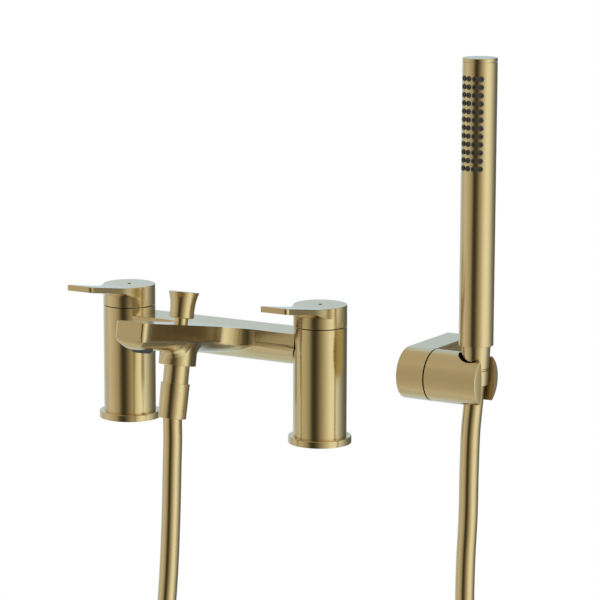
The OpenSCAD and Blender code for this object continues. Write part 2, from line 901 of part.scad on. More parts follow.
module handset_nozzles() {
    color(rubber)
    at_handset()
        difference() {
            union() {
                intersection() {
                    ring(mat_r, mat_r - mat_t, mat_low, mat_low + mat_h);
                    translate([0, 0, mat_low - past])
                        linear_extrude(mat_h + 2 * past)
                            polygon([[0, 0], [-mat_reach, -mat_reach], [mat_reach, -mat_reach]]);
                }
                each_nozzle()
                    translate([0, 0, mat_r - 0.5 * mat_t])
                        cylinder(r = nozzle_r, h = handset_r + nozzle_proud - mat_r + 0.5 * mat_t);
            }
            each_nozzle()
                translate([0, 0, mat_r - 2 * mat_t])
                    cylinder(r = nozzle_hole_r, h = handset_r);
        }
}

module handset_end_cap() {
    color(brass)
    at_handset() {
        translate([0, 0, handset_top - cap_t])
            cylinder(r = handset_r, h = cap_t - cap_edge);
        translate([0, 0, handset_top - cap_edge])
            cylinder(r1 = handset_r, r2 = handset_r - cap_edge, h = cap_edge);
        translate([0, 0, handset_top - cap_t - cap_gap - cap_plug_h + cap_plug_up])
            cylinder(r = handset_in_r - slide_gap, h = cap_plug_h + cap_gap);
    }
}

module at_pivot() {
    translate([0, pivot_y, pivot_z])
        children();
}

// outline of the side panel, drawn in by a gap and ending at the wall or past it
module panel_outline(gap, back) {
    half = cradle_r - panel_inset - gap;
    polygon([[panel_front + gap, half], [back, half], [back, -half], [panel_front + gap, -half]]);
}

module bracket_block() {
    color(brass)
    at_pivot()
        difference() {
            union() {
                translate([block_x, 0, 0])
                    rotate([0, 90, 0])
                        cylinder(r = cradle_r, h = block_w);
                translate([block_x, 0, -cradle_r])
                    cube([block_w, wall_reach, cradle_d]);
            }
            // hollow behind, open to the wall
            translate([block_x + block_wall, hollow_front, -cradle_r + block_wall])
                cube([block_w - web_t - block_wall, wall_reach, cradle_d - 2 * block_wall]);
            translate([block_x + block_wall, 0, 0])
                rotate([0, 90, 0])
                    cylinder(r = cradle_r - block_wall, h = block_w - web_t - block_wall);
            // bearing for the cradle's hub
            translate([gap_x - hub_in, 0, 0])
                rotate([0, 90, 0])
                    cylinder(r = hub_r + hub_fit, h = hub_in + past);
            // recess for the side panel
            translate([gap_x - panel_t, 0, 0])
                rotate([90, 0, 90])
                    linear_extrude(panel_t + past)
                        panel_outline(0, wall_reach + past);
            // thread for the locking screw, from below
            translate([lock_screw_x, lock_screw_y - pivot_y, -cradle_r - past])
                cylinder(r = screw_r, h = block_wall + 2 * past);
        }
}

module bracket_side_panel() {
    color(brass)
    at_pivot()
        translate([gap_x - panel_t, 0, 0])
            rotate([90, 0, 90])
                linear_extrude(panel_t)
                    panel_outline(panel_gap, wall_reach);
}

module bracket_wall_plate() {
    color(steel)
    at_pivot()
        difference() {
            translate([block_x + block_wall + plate_fit, wall_reach - plate_back_t, -cradle_r + block_wall + plate_fit])
                cube([block_w - web_t - block_wall - 2 * plate_fit, plate_back_t, cradle_d - 2 * (block_wall + plate_fit)]);
            for (side = [-1, 1])
                translate([lock_screw_x, wall_reach - plate_back_t - past, side * plate_hole_spacing / 2])
                    rotate([-90, 0, 0])
                        cylinder(r = plate_hole_r, h = plate_back_t + 2 * past);
        }
    color(steel)
    at_pivot()
        difference() {
            translate([block_x + block_wall + plate_fit, wall_reach - plate_foot_out, -cradle_r + block_wall + plate_fit])
                cube([block_w - web_t - block_wall - 2 * plate_fit, plate_foot_len, plate_t]);
            translate([lock_screw_x, lock_screw_y - pivot_y, -cradle_r])
                cylinder(r = screw_r, h = block_wall + plate_fit + plate_t + past);
        }
}

module bracket_lock_screw() {
    color(steel)
    at_pivot()
        translate([lock_screw_x, lock_screw_y - pivot_y, -cradle_r + lock_screw_up])
            difference() {
                cylinder(r = screw_r, h = lock_screw_len);
                translate([0, 0, -past])
                    cylinder(r = hex_r, h = hex_depth + past, $fn = 6);
            }
}

module cradle_friction_washer() {
    color(plastic)
    at_pivot()
        translate([gap_x, 0, 0])
            rotate([0, 90, 0])
                ring(cradle_r - washer_rim, hub_r + washer_fit, 0, bracket_gap);
}

module cradle_bore() {
    slope = (bore_top_r - bore_low_r) / cradle_d;
    translate([bracket_x, 0, -cradle_r - past])
        cylinder(r1 = bore_low_r - past * slope, r2 = bore_top_r + past * slope, h = cradle_d + 2 * past);
}

// edge of the cradle's domed end, as radius and length
function arc_rise() = [for (k = [1:dome_steps]) let (a = 90 * k / dome_steps) [cradle_r * cos(a), cradle_len + dome_h * sin(a)]];

module cradle() {
    color(brass)
    at_pivot()
        difference() {
            union() {
                translate([gap_x + bracket_gap, 0, 0])
                    rotate([0, 90, 0])
                        rotate_extrude()
                            polygon(concat([[0, 0], [cradle_r, 0], [cradle_r, cradle_len]],
                                arc_rise()));
                translate([gap_x - hub_in, 0, 0])
                    rotate([0, 90, 0])
                        cylinder(r = hub_r, h = hub_in + hub_root);
            }
            // conical seat for the handset, open at the end face
            cradle_bore();
            translate([bracket_x, -slot_half, -cradle_r - past])
                cube([slot_len, 2 * slot_half, cradle_d + 2 * past]);
            // thread for the axle
            translate([gap_x - hub_in - past, 0, 0])
                rotate([0, 90, 0])
                    cylinder(r = axle_r, h = hub_in + past + axle_grip + axle_hole_past);
        }
}

module cradle_liner() {
    color(rubber)
    at_pivot()
        intersection() {
            translate([gap_x, 0, 0])
                rotate([0, 90, 0])
                    cylinder(r = cradle_r - liner_gap, h = cradle_len);
            translate([bracket_x, 0, 0])
                difference() {
                    translate([-bracket_x, 0, 0])
                        cradle_bore();
                    rotate_extrude()
                        polygon([[0, -cradle_r - past], [liner_low_r, -cradle_r - past], [liner_low_r, liner_floor],
                            [stem_radius(liner_seat_low), liner_seat_low], [stem_radius(liner_seat_top), liner_seat_top],
                            [liner_funnel_r, liner_mouth_z], [liner_funnel_r + liner_mouth_flare, cradle_r + past],
                            [0, cradle_r + past]]);
                    translate([0, -slot_half, -cradle_r - past])
                        cube([slot_len, 2 * slot_half, cradle_d + 2 * past]);
                }
        }
}

// radius of the seat at a height above the pivot: the stem's taper plus the seat's gap
function stem_radius(z) = hand_nut_r + liner_gap + (stem_top_r - hand_nut_r) * (pivot_z + z - hand_nut_z) / (shoulder_z - hand_nut_z);

module cradle_axle() {
    color(steel)
    at_pivot()
        translate([gap_x - hub_in - axle_head_t, 0, 0])
            rotate([0, 90, 0]) {
                difference() {
                    cylinder(r = axle_head_r, h = axle_head_t);
                    translate([0, 0, -past])
                        cylinder(r = axle_hex_r, h = hex_depth + past, $fn = 6);
                }
                translate([0, 0, axle_head_t - eps])
                    cylinder(r = axle_r, h = hub_in + axle_grip);
            }
}

module hot_pillar() { pillar(-1); }
module cold_pillar() { pillar(1); }
module hot_base_ring() { base_ring(-1); }
module cold_base_ring() { base_ring(1); }
module hot_base_gasket() { base_gasket(-1); }
module cold_base_gasket() { base_gasket(1); }
module hot_bridge_seal() { bridge_seal(-1); }
module cold_bridge_seal() { bridge_seal(1); }
module hot_cartridge() { cartridge(-1); }
module cold_cartridge() { cartridge(1); }
module hot_port_seal() { port_seal(-1); }
module cold_port_seal() { port_seal(1); }
module hot_fixed_disc() { fixed_disc(-1); }
module cold_fixed_disc() { fixed_disc(1); }
module hot_moving_disc() { moving_disc(-1); }
module cold_moving_disc() { moving_disc(1); }
module hot_spindle() { spindle(-1); }
module cold_spindle() { spindle(1); }
module hot_gland() { gland(-1); }
module cold_gland() { gland(1); }
module hot_handle() { handle(-1); }
module cold_handle() { handle(1); }
module hot_handle_screw() { handle_screw(-1); }
module cold_handle_screw() { handle_screw(1); }
module hot_dot() { dot(-1, red); }
module cold_dot() { dot(1, blue); }

mixer_body();
hot_pillar();
cold_pillar();
hot_base_ring();
cold_base_ring();
hot_base_gasket();
cold_base_gasket();
hot_bridge_seal();
cold_bridge_seal();
hot_cartridge();
cold_cartridge();
hot_port_seal();
cold_port_seal();
hot_fixed_disc();
cold_fixed_disc();
hot_moving_disc();
cold_moving_disc();
hot_spindle();
cold_spindle();
hot_gland();
cold_gland();
hot_handle();
cold_handle();
hot_handle_screw();
cold_handle_screw();
hot_dot();
cold_dot();
aerator_housing();
aerator_insert();
aerator_seal();
diverter_knob();
diverter_stem();
diverter_seal();
diverter_gland();
outlet_spigot();
mixer_hose_nut();
mixer_hose_washer();
mixer_hose_collar();
hose();
hose_top();
handset_hose_nut();
handset_hose_collar();
handset_hose_washer();
handset_stem();
handset_tube();
handset_core();
handset_nozzles();
handset_end_cap();
bracket_block();
bracket_side_panel();
bracket_wall_plate();
bracket_lock_screw();
cradle_friction_washer();
cradle();
cradle_liner();
cradle_axle();
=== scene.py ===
import bpy
import bmesh
from math import atan2, cos, degrees, hypot, pi, radians, sin
from mathutils import Matrix, Vector


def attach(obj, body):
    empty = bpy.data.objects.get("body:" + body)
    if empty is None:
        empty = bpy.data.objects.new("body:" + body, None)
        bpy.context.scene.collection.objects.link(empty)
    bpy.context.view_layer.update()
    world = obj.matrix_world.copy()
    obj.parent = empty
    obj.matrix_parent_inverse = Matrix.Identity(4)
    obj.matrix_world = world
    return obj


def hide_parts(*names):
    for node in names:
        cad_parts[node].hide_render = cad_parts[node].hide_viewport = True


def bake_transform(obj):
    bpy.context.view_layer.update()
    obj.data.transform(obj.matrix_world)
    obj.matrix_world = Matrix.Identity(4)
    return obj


# Looks, light and camera of the bath shower mixer. Lengths are in millimetres where nothing else is said.

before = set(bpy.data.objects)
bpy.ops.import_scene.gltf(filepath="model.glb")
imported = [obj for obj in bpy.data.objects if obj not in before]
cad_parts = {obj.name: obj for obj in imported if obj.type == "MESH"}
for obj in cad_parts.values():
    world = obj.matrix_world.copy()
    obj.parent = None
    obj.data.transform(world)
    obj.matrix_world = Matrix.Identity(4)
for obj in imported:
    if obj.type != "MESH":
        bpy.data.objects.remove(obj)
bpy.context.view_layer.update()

MM = 0.001

# Main sizes in millimetres, the same as the frame's
PILLAR_X = 90.0
PILLAR_R = 21.2
BRIDGE_TOP = 87.3
BRIDGE_HALF = 16.2
BRIDGE_LIP = 0.8
SPOUT_START = BRIDGE_HALF + BRIDGE_LIP
SPOUT_RISE = 10.5
SPOUT_LEN = (132.0 - SPOUT_START) / cos(radians(SPOUT_RISE))
DIVERTER_Y = -45.0
PIVOT_Y = 8.0
PIVOT_Z = 63.0
HANDSET_X = 222.8
NUT_LOW = -74.0
HOSE_IN = 4.0
HAND_NUT_Z = 59.6

# Camera: its place in metres, turn and tilt in radians
CAMERA_AT = (1.17874, -1.87088, 0.50632)
CAMERA_YAW = 0.53437
CAMERA_PITCH = 0.17953
CAMERA_ROLL = 0.00307
CAMERA_LENS = 168.82

# Floor and lamp, in metres
FLOOR_AT = (0.06, -0.02, -0.56)
FLOOR_RADIUS = 1.7
FLOOR_SIDES = 96
FLOOR_TONE = (0.86, 0.86, 0.86)
FLOOR_GLOW = 0.22
FADE_START = 0.6
FADE_END = 1.4
LAMP_AT = (0.2, -0.3, 2.4)
LAMP_AIM = (0.06, -0.02, 0.1)
LAMP_SIZE = 1.6
LAMP_POWER = 6


# Camera, studio light and floor

def make_camera():
    level = cos(CAMERA_PITCH)
    forward = Vector((-sin(CAMERA_YAW) * level, cos(CAMERA_YAW) * level, -sin(CAMERA_PITCH)))
    right = Vector((cos(CAMERA_YAW), sin(CAMERA_YAW), 0))
    up = right.cross(forward)
    x_axis = right * cos(CAMERA_ROLL) + up * sin(CAMERA_ROLL)
    y_axis = -right * sin(CAMERA_ROLL) + up * cos(CAMERA_ROLL)
    data = bpy.data.cameras.new("photo_camera")
    data.lens = CAMERA_LENS
    data.sensor_width = 36
    data.clip_end = 50
    camera = bpy.data.objects.new("photo_camera", data)
    bpy.context.scene.collection.objects.link(camera)
    facing = Matrix((x_axis, y_axis, -forward)).transposed().to_4x4()
    camera.matrix_world = Matrix.Translation(CAMERA_AT) @ facing
    bpy.context.scene.camera = camera
    bpy.context.scene.view_settings.view_transform = "Standard"


# Light of the studio round the object: angle to the right of the camera, in degrees, and its colour
STUDIO_BAND = [
    (-180, (0.58, 0.70, 0.76)), (-150, (0.66, 0.74, 0.74)), (-122, (0.55, 0.56, 0.54)), (-98, (0.74, 0.75, 0.74)),
    (-66, (0.57, 0.55, 0.49)), (-48, (0.41, 0.39, 0.33)), (-39, (0.16, 0.15, 0.11)), (-33, (0.045, 0.043, 0.034)),
    (-19, (0.045, 0.043, 0.034)), (-10, (0.12, 0.11, 0.08)), (0, (0.28, 0.26, 0.20)), (14, (0.50, 0.48, 0.41)),
    (28, (0.76, 0.75, 0.70)), (42, (1.02, 1.06, 1.06)), (56, (1.08, 1.15, 1.17)), (72, (0.95, 1.02, 1.05)),
    (90, (0.62, 0.68, 0.74)), (104, (0.36, 0.38, 0.38)), (118, (0.23, 0.225, 0.20)), (138, (0.13, 0.13, 0.11)),
    (152, (0.10, 0.12, 0.12)), (165, (0.38, 0.47, 0.52))]
STUDIO_TURN = 31
CEILING = (0.56, 0.545, 0.485)
CEILING_START = 0.85
CEILING_END = 0.885
WHITE = (1.0, 1.0, 1.0)
BLACK = (0.0, 0.0, 0.0)


def make_world():
    """A studio seen by reflections, with the band below and one even tone above, and white behind the object."""
    world = bpy.data.worlds.new("studio")
    bpy.context.scene.world = world
    world.use_nodes = True
    tree = world.node_tree
    tree.nodes.clear()
    new, link = tree.nodes.new, tree.links.new
    heading = new("ShaderNodeTexCoord")
    split = new("ShaderNodeSeparateXYZ")
    link(heading.outputs["Generated"], split.inputs[0])
    back = new("ShaderNodeMath")
    back.operation = "MULTIPLY"
    back.inputs[1].default_value = -1
    link(split.outputs["Y"], back.inputs[0])
    turn = new("ShaderNodeMath")
    turn.operation = "ARCTAN2"
    link(split.outputs["X"], turn.inputs[0])
    link(back.outputs[0], turn.inputs[1])
    share = new("ShaderNodeMapRange")
    share.inputs["From Min"].default_value = -pi
    share.inputs["From Max"].default_value = pi
    link(turn.outputs[0], share.inputs["Value"])
    band = new("ShaderNodeValToRGB")
    fill_ramp(band.color_ramp, band_stops())
    link(share.outputs[0], band.inputs["Fac"])
    height = new("ShaderNodeValToRGB")
    fill_ramp(height.color_ramp, [(0.0, BLACK), (CEILING_START, BLACK), (CEILING_END, WHITE), (1.0, WHITE)])
    lift = new("ShaderNodeMapRange")
    lift.inputs["From Min"].default_value = -1
    link(split.outputs["Z"], lift.inputs["Value"])
    link(lift.outputs[0], height.inputs["Fac"])
    mix = new("ShaderNodeMix")
    mix.data_type = "RGBA"
    link(height.outputs["Color"], mix.inputs["Factor"])
    link(band.outputs["Color"], mix.inputs["A"])
    mix.inputs["B"].default_value = (*CEILING, 1)
    studio = new("ShaderNodeBackground")
    link(mix.outputs["Result"], studio.inputs["Color"])
    white = new("ShaderNodeBackground")
    white.inputs["Color"].default_value = (*WHITE, 1)
    path = new("ShaderNodeLightPath")
    choose = new("ShaderNodeMixShader")
    link(path.outputs["Is Camera Ray"], choose.inputs["Fac"])
    link(studio.outputs[0], choose.inputs[1])
    link(white.outputs[0], choose.inputs[2])
    out = new("ShaderNodeOutputWorld")
    link(choose.outputs[0], out.inputs["Surface"])


def band_stops():
    """The band's stops by share of a turn, from the world's own back seam."""
    turned = sorted((((angle + STUDIO_TURN + 180) % 360) / 360, color) for angle, color in STUDIO_BAND)
    first, last = turned[0], turned[-1]
    share = first[0] / (first[0] + 1 - last[0])
    seam = tuple(a + (b - a) * share for a, b in zip(first[1], last[1]))
    return [(0.0, seam)] + turned + [(1.0, seam)]


def fill_ramp(ramp, stops):
    while len(ramp.elements) > 1:
        ramp.elements.remove(ramp.elements[-1])
    for i, (place, color) in enumerate(stops):
        stop = ramp.elements[0] if i == 0 else ramp.elements.new(place)
        stop.position = place
        stop.color = (*color, 1)


def make_floor():
    """A pale round floor that only the camera sees, fading to white at its rim."""
    mesh = bpy.data.meshes.new("floor")
    turns = [2 * pi * i / FLOOR_SIDES for i in range(FLOOR_SIDES)]
    rim = [(FLOOR_RADIUS * cos(turn), FLOOR_RADIUS * sin(turn), 0) for turn in turns]
    mesh.from_pydata(rim, [], [list(range(FLOOR_SIDES))])
    floor = bpy.data.objects.new("floor", mesh)
    floor.location = FLOOR_AT
    bpy.context.scene.collection.objects.link(floor)
    material = bpy.data.materials.new("pale_floor")
    material.use_nodes = True
    tree = material.node_tree
    tree.nodes.clear()
    new, link = tree.nodes.new, tree.links.new
    paint = new("ShaderNodeBsdfDiffuse")
    paint.inputs["Color"].default_value = (*FLOOR_TONE, 1)
    place = new("ShaderNodeTexCoord")
    glow = new("ShaderNodeEmission")
    glow.inputs["Strength"].default_value = FLOOR_GLOW
    lit = new("ShaderNodeAddShader")
    link(paint.outputs[0], lit.inputs[0])
    link(glow.outputs[0], lit.inputs[1])
    white = new("ShaderNodeEmission")
    length = new("ShaderNodeVectorMath")
    length.operation = "LENGTH"
    link(place.outputs["Object"], length.inputs[0])
    far = new("ShaderNodeMapRange")
    far.interpolation_type = "SMOOTHSTEP"
    far.inputs["From Min"].default_value = FADE_START
    far.inputs["From Max"].default_value = FADE_END
    link(length.outputs["Value"], far.inputs["Value"])
    fade = new("ShaderNodeMixShader")
    link(far.outputs[0], fade.inputs["Fac"])
    link(lit.outputs[0], fade.inputs[1])
    link(white.outputs[0], fade.inputs[2])
    path = new("ShaderNodeLightPath")
    choose = new("ShaderNodeMixShader")
    link(path.outputs["Is Camera Ray"], choose.inputs["Fac"])
    link(new("ShaderNodeBsdfTransparent").outputs[0], choose.inputs[1])
    link(fade.outputs[0], choose.inputs[2])
    out = new("ShaderNodeOutputMaterial")
    link(choose.outputs[0], out.inputs["Surface"])
    mesh.materials.append(material)


def make_lamp():
    """One broad soft lamp above the object, hidden from reflections."""
    data = bpy.data.lights.new("ceiling_lamp", "AREA")
    data.shape = "DISK"
    data.size = LAMP_SIZE
    data.energy = LAMP_POWER
    lamp = bpy.data.objects.new("ceiling_lamp", data)
    lamp.location = LAMP_AT
    lamp.rotation_euler = (Vector(LAMP_AIM) - Vector(LAMP_AT)).to_track_quat("-Z", "Y").to_euler()
    lamp.visible_glossy = False
    bpy.context.scene.collection.objects.link(lamp)


# Materials

# Stretch of the noise: small along an axis draws lines along it
EVEN = (1, 1, 1)
ROUND_Z = (0.02, 0.02, 1)
ROUND_HOSE = (0.6, 0.6, 1)
ALONG_X = (0.06, 1, 1)
ALONG_Y = (1, 0.02, 1)

BRASS = (0.70, 0.535, 0.25)
# Painted shade: a darker brass for the inside faces of the cradle's bore and slot
SHADE_BRASS = (0.34, 0.24, 0.10)
# Painted shade: a dark brass on faces that look along X, standing in for a dark reflection
SIDE_SHADE_TONE = (0.20, 0.15, 0.08)
SIDE_START = 0.86
SIDE_END = 0.99
CLOUD_SCALE = 45
CLOUD_SPREAD = 0.02
LINE_SCALE = 2600
LINE_BUMP = 0.01
LINE_DEPTH = 0.00005
LACQUER_ROUGH = 0.16
LACQUER_IOR = 1.55
MOTTLE = 0.15
MOTTLE_DEPTH = 0.0001
DOT_SCALE = 2500


def start_material(name):
    material = bpy.data.materials.new(name)
    material.use_nodes = True
    tree = material.node_tree
    shader = tree.nodes["Principled BSDF"]
    return material, tree, shader


def grain(tree, stretch, scale):
    """A noise drawn out along the axes where stretch is small, for lines left by brushing."""
    place = tree.nodes.new("ShaderNodeTexCoord")
    pull = tree.nodes.new("ShaderNodeMapping")
    pull.inputs["Scale"].default_value = stretch
    tree.links.new(place.outputs["Object"], pull.inputs["Vector"])
    noise = tree.nodes.new("ShaderNodeTexNoise")
    noise.inputs["Scale"].default_value = scale
    noise.inputs["Detail"].default_value = 3
    tree.links.new(pull.outputs[0], noise.inputs["Vector"])
    return noise.outputs["Fac"]


def spread(color, by):
    """The colour a little darker and a little lighter."""
    return [c * (1 - by) for c in color], [min(c * (1 + by), 1) for c in color]


def ranged(tree, value, low, high):
    node = tree.nodes.new("ShaderNodeMapRange")
    node.inputs["To Min"].default_value = low
    node.inputs["To Max"].default_value = high
    tree.links.new(value, node.inputs["Value"])
    return node.outputs[0]


def tinted(tree, value, low, high):
    mix = tree.nodes.new("ShaderNodeMix")
    mix.data_type = "RGBA"
    mix.inputs["A"].default_value = (*low, 1)
    mix.inputs["B"].default_value = (*high, 1)
    tree.links.new(value, mix.inputs["Factor"])
    return mix.outputs["Result"]


def painted_side_shade(tree, tone, depth):
    """The tone, with painted shade on faces that look along X: a darker brass there stands in for a dark reflection.
    """
    facing = tree.nodes.new("ShaderNodeNewGeometry")
    split = tree.nodes.new("ShaderNodeSeparateXYZ")
    tree.links.new(facing.outputs["Normal"], split.inputs[0])
    size = tree.nodes.new("ShaderNodeMath")
    size.operation = "ABSOLUTE"
    tree.links.new(split.outputs["X"], size.inputs[0])
    share = tree.nodes.new("ShaderNodeMapRange")
    share.interpolation_type = "SMOOTHSTEP"
    share.inputs["From Min"].default_value = SIDE_START
    share.inputs["From Max"].default_value = SIDE_END
    share.inputs["To Max"].default_value = depth
    tree.links.new(size.outputs[0], share.inputs["Value"])
    mix = tree.nodes.new("ShaderNodeMix")
    mix.data_type = "RGBA"
    tree.links.new(share.outputs[0], mix.inputs["Factor"])
    tree.links.new(tone, mix.inputs["A"])
    mix.inputs["B"].default_value = (*SIDE_SHADE_TONE, 1)
    return mix.outputs["Result"]


def brushed_brass(name, stretch, edge=0.35, rough=(0.17, 0.22), color=BRASS, side=0.0):
    """Brushed brass under clear lacquer, with fine lines and a cloudy tone. Soft edges and painted shade on the sides
    that look along X are optional.
    """
    material, tree, shader = start_material(name)
    link = tree.links.new
    cloud = grain(tree, EVEN, CLOUD_SCALE)
    lines = grain(tree, stretch, LINE_SCALE)
    tone = tinted(tree, cloud, *spread(color, CLOUD_SPREAD))
    if side:
        tone = painted_side_shade(tree, tone, side)
    link(tone, shader.inputs["Base Color"])
    link(ranged(tree, lines, *rough), shader.inputs["Roughness"])
    shader.inputs["Metallic"].default_value = 1
    shader.inputs["Coat Weight"].default_value = 1
    shader.inputs["Coat Roughness"].default_value = LACQUER_ROUGH
    shader.inputs["Coat IOR"].default_value = LACQUER_IOR
    bump = tree.nodes.new("ShaderNodeBump")
    bump.inputs["Strength"].default_value = LINE_BUMP
    bump.inputs["Distance"].default_value = LINE_DEPTH
    link(lines, bump.inputs["Height"])
    link(bump.outputs[0], shader.inputs["Normal"])
    if edge:
        soft_edge = tree.nodes.new("ShaderNodeBevel")
        soft_edge.samples = 4
        soft_edge.inputs["Radius"].default_value = edge * MM
        link(soft_edge.outputs[0], bump.inputs["Normal"])
        link(soft_edge.outputs[0], shader.inputs["Coat Normal"])
    return material


def matt(name, color, rough, scale=300, metallic=0.0, relief=0.08, shine=0.5):
    """Rubber, plastic, ceramic or plain metal, with a fine mottled surface."""
    material, tree, shader = start_material(name)
    spots = grain(tree, EVEN, scale)
    tree.links.new(tinted(tree, spots, *spread(color, MOTTLE)), shader.inputs["Base Color"])
    rough_map = ranged(tree, spots, rough * (1 - MOTTLE), min(rough * (1 + MOTTLE), 1))
    tree.links.new(rough_map, shader.inputs["Roughness"])
    shader.inputs["Metallic"].default_value = metallic
    shader.inputs["Specular IOR Level"].default_value = shine
    bump = tree.nodes.new("ShaderNodeBump")
    bump.inputs["Strength"].default_value = relief
    bump.inputs["Distance"].default_value = MOTTLE_DEPTH
    tree.links.new(spots, bump.inputs["Height"])
    tree.links.new(bump.outputs[0], shader.inputs["Normal"])
    return material


def make_materials():
    return {
        "turned": brushed_brass("turned_brass", ROUND_Z, edge=0),
        "cast": brushed_brass("cast_brass", ALONG_X),
        # The spout's faces that look along X get painted shade
        "spout": brushed_brass("spout_brass", ALONG_X, edge=0, rough=(0.24, 0.29), side=0.92),
        "cradle": brushed_brass("cradle_brass", ALONG_X, edge=0, rough=(0.24, 0.29)),
        "satin": brushed_brass("satin_brass", ROUND_Z, edge=0, rough=(0.42, 0.48)),
        # Painted shade inside the cradle's bore and slot
        "bore_shade": brushed_brass("bore_shade_brass", ROUND_Z, edge=0, rough=(0.3, 0.36), color=SHADE_BRASS),
        "lever": brushed_brass("lever_brass", ALONG_Y, edge=0, rough=(0.19, 0.24)),
        "hose": brushed_brass("hose_brass", ROUND_HOSE, edge=0, rough=(0.17, 0.21)),
        "plain": matt("plain_brass", (0.72, 0.56, 0.28), 0.35, metallic=1.0),
        "steel": matt("steel", (0.62, 0.63, 0.65), 0.3, metallic=1.0),
        "rubber": matt("rubber", (0.008, 0.008, 0.008), 0.7, shine=0.15),
        "nozzle": matt("nozzle_rubber", (0.066, 0.066, 0.060), 0.45),
        "plastic": matt("aerator_plastic", (0.05, 0.055, 0.06), 0.4),
        "ceramic": matt("ceramic", (0.82, 0.82, 0.80), 0.25),
        "red": matt("red_dot", (0.15, 0.05, 0.04), 0.6, scale=DOT_SCALE, shine=0.1),
        "blue": matt("blue_dot", (0.045, 0.10, 0.15), 0.6, scale=DOT_SCALE, shine=0.1),
    }


def dress(node, material):
    """Gives every slot of a node of the frame the same material."""
    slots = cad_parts[node].data.materials
    for i in range(len(slots)):
        slots[i] = material
    if not slots:
        slots.append(material)


NODE_LOOKS = {
    "turned": ["pillar", "base_ring", "outlet_spigot", "mixer_hose_nut", "handset_hose_nut", "handset_stem",
               "handset_tube", "handset_end_cap", "diverter_knob", "diverter_stem"],
    "cast": ["mixer_body", "bracket_block", "bracket_side_panel"],
    "lever": ["handle"],
    "plain": ["cartridge", "spindle", "gland", "collar"],
    "steel": ["screw", "axle", "plate"],
    "rubber": ["gasket", "seal", "washer", "liner"],
    "nozzle": ["nozzles"],
    "plastic": ["aerator", "core", "friction"],
    "ceramic": ["disc"],
    "red": ["hot_dot"],
    "blue": ["cold_dot"],
}


def look_of(node):
    """The look whose word is the longest found in the node's name."""
    found = [(len(word), look) for look, words in NODE_LOOKS.items() for word in words if word in node]
    return max(found)[1] if found else "turned"


# Hose: the same route as the frame's. Each row has a share of the way across, a share of the lean and a height.

HOSE_R = 7.5
HOSE_LEAN = 3.2
HOSE_LEFT = [
    (0, 0, 0), (0.004, 0.56, -10), (0.007, 0.94, -22), (0.005, 1, -42), (0, 1, -85), (-0.01, 1, -135),
    (-0.03, 1, -190), (-0.06, 1, -245), (-0.1, 1, -300), (-0.12, 1, -355)]
HOSE_BOTTOM = [
    (-0.11, 1, -408), (-0.015, 1, -455), (0.14, 1, -492), (0.33, 1, -514), (0.5, 1, -519),
    (0.67, 1, -514), (0.86, 1, -492), (1.015, 1, -455), (1.105, 1, -408)]
HOSE_RIGHT = [
    (1.125, 1, -400), (1.11, 1, -355), (1.08, 1, -310), (1.035, 1, -268), (0.997, 1, -228), (0.977, 1, -189),
    (0.976, 1, -149), (0.982, 1, -109), (0.9835, 1, -74), (0.9865, 1, -42), (0.9945, 1, -18), (1, 1, 0)]
# The upper length has HOSE_SPLIT rows, each in HOSE_FINE steps.
HOSE_SPLIT = 5
HOSE_FINE = 8
HOSE_SIDES = 48


def spout_point(x, y, z):
    """The shared frame's point for a point of the spout's own frame, whose floor is its top face."""
    a = radians(SPOUT_RISE)
    return Vector((x, -SPOUT_START + y * cos(a) + z * sin(a), BRIDGE_TOP - y * sin(a) + z * cos(a)))


def hose_controls():
    first = spout_point(0, DIVERTER_Y, NUT_LOW + HOSE_IN)
    last = Vector((HANDSET_X, PIVOT_Y, HAND_NUT_Z + HOSE_IN))
    rows = [(row, first.z) for row in HOSE_LEFT + HOSE_BOTTOM] + [(row, last.z) for row in HOSE_RIGHT]
    points = []
    for (share, lean, height), base in rows:
        along = first.x + (last.x - first.x) * share
        out = first.y - HOSE_LEAN * lean + (last.y - first.y + HOSE_LEAN) * share
        points.append(Vector((along, out, base + height)))
    return points


def smooth_path(points, steps):
    """A curve through all the points, as the frame's hose follows."""
    path = []
    for i in range(len(points) - 1):
        a, b = points[max(i - 1, 0)], points[i]
        c, d = points[i + 1], points[min(i + 2, len(points) - 1)]
        for k in range(steps):
            t = k / steps
            square = (2 * a - 5 * b + 4 * c - d) * t * t
            cube = (3 * b - a - 3 * c + d) * t ** 3
            path.append(0.5 * (2 * b + (c - a) * t + square + cube))
    return path + [points[-1]]


def make_object(name, mesh, material):
    mesh.materials.append(material)
    made = bpy.data.objects.new(name, mesh)
    bpy.context.scene.collection.objects.link(made)
    return made


def tube(name, path, first, last, material):
    """A closed length of hose along a path, its end rings square to the first and last headings."""
    verts, faces = [], []
    count, sides = len(path), HOSE_SIDES
    headings = [first] + [path[i + 1] - path[i - 1] for i in range(1, count - 1)] + [last]
    for p, heading in zip(path, headings):
        heading = heading.normalized()
        side = Vector((0, 1, 0)).cross(heading).normalized()
        up = heading.cross(side)
        for k in range(sides):
            turn = 2 * pi * k / sides
            verts.append((p + HOSE_R * (cos(turn) * side + sin(turn) * up)) * MM)
    for i in range(count - 1):
        for k in range(sides):
            j = (k + 1) % sides
            faces.append((i * sides + k, i * sides + j, (i + 1) * sides + j, (i + 1) * sides + k))
    for i, order in ((0, -1), (count - 1, 1)):
        start = len(verts)
        verts += verts[i * sides:(i + 1) * sides]
        faces.append(tuple(range(start, start + sides))[::order])
    mesh = bpy.data.meshes.new(name)
    mesh.from_pydata(verts, [], faces)
    for face in mesh.polygons:
        face.use_smooth = len(face.vertices) == 4
    return make_object(name, mesh, material)


def hose_cord(node):
    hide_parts(node)


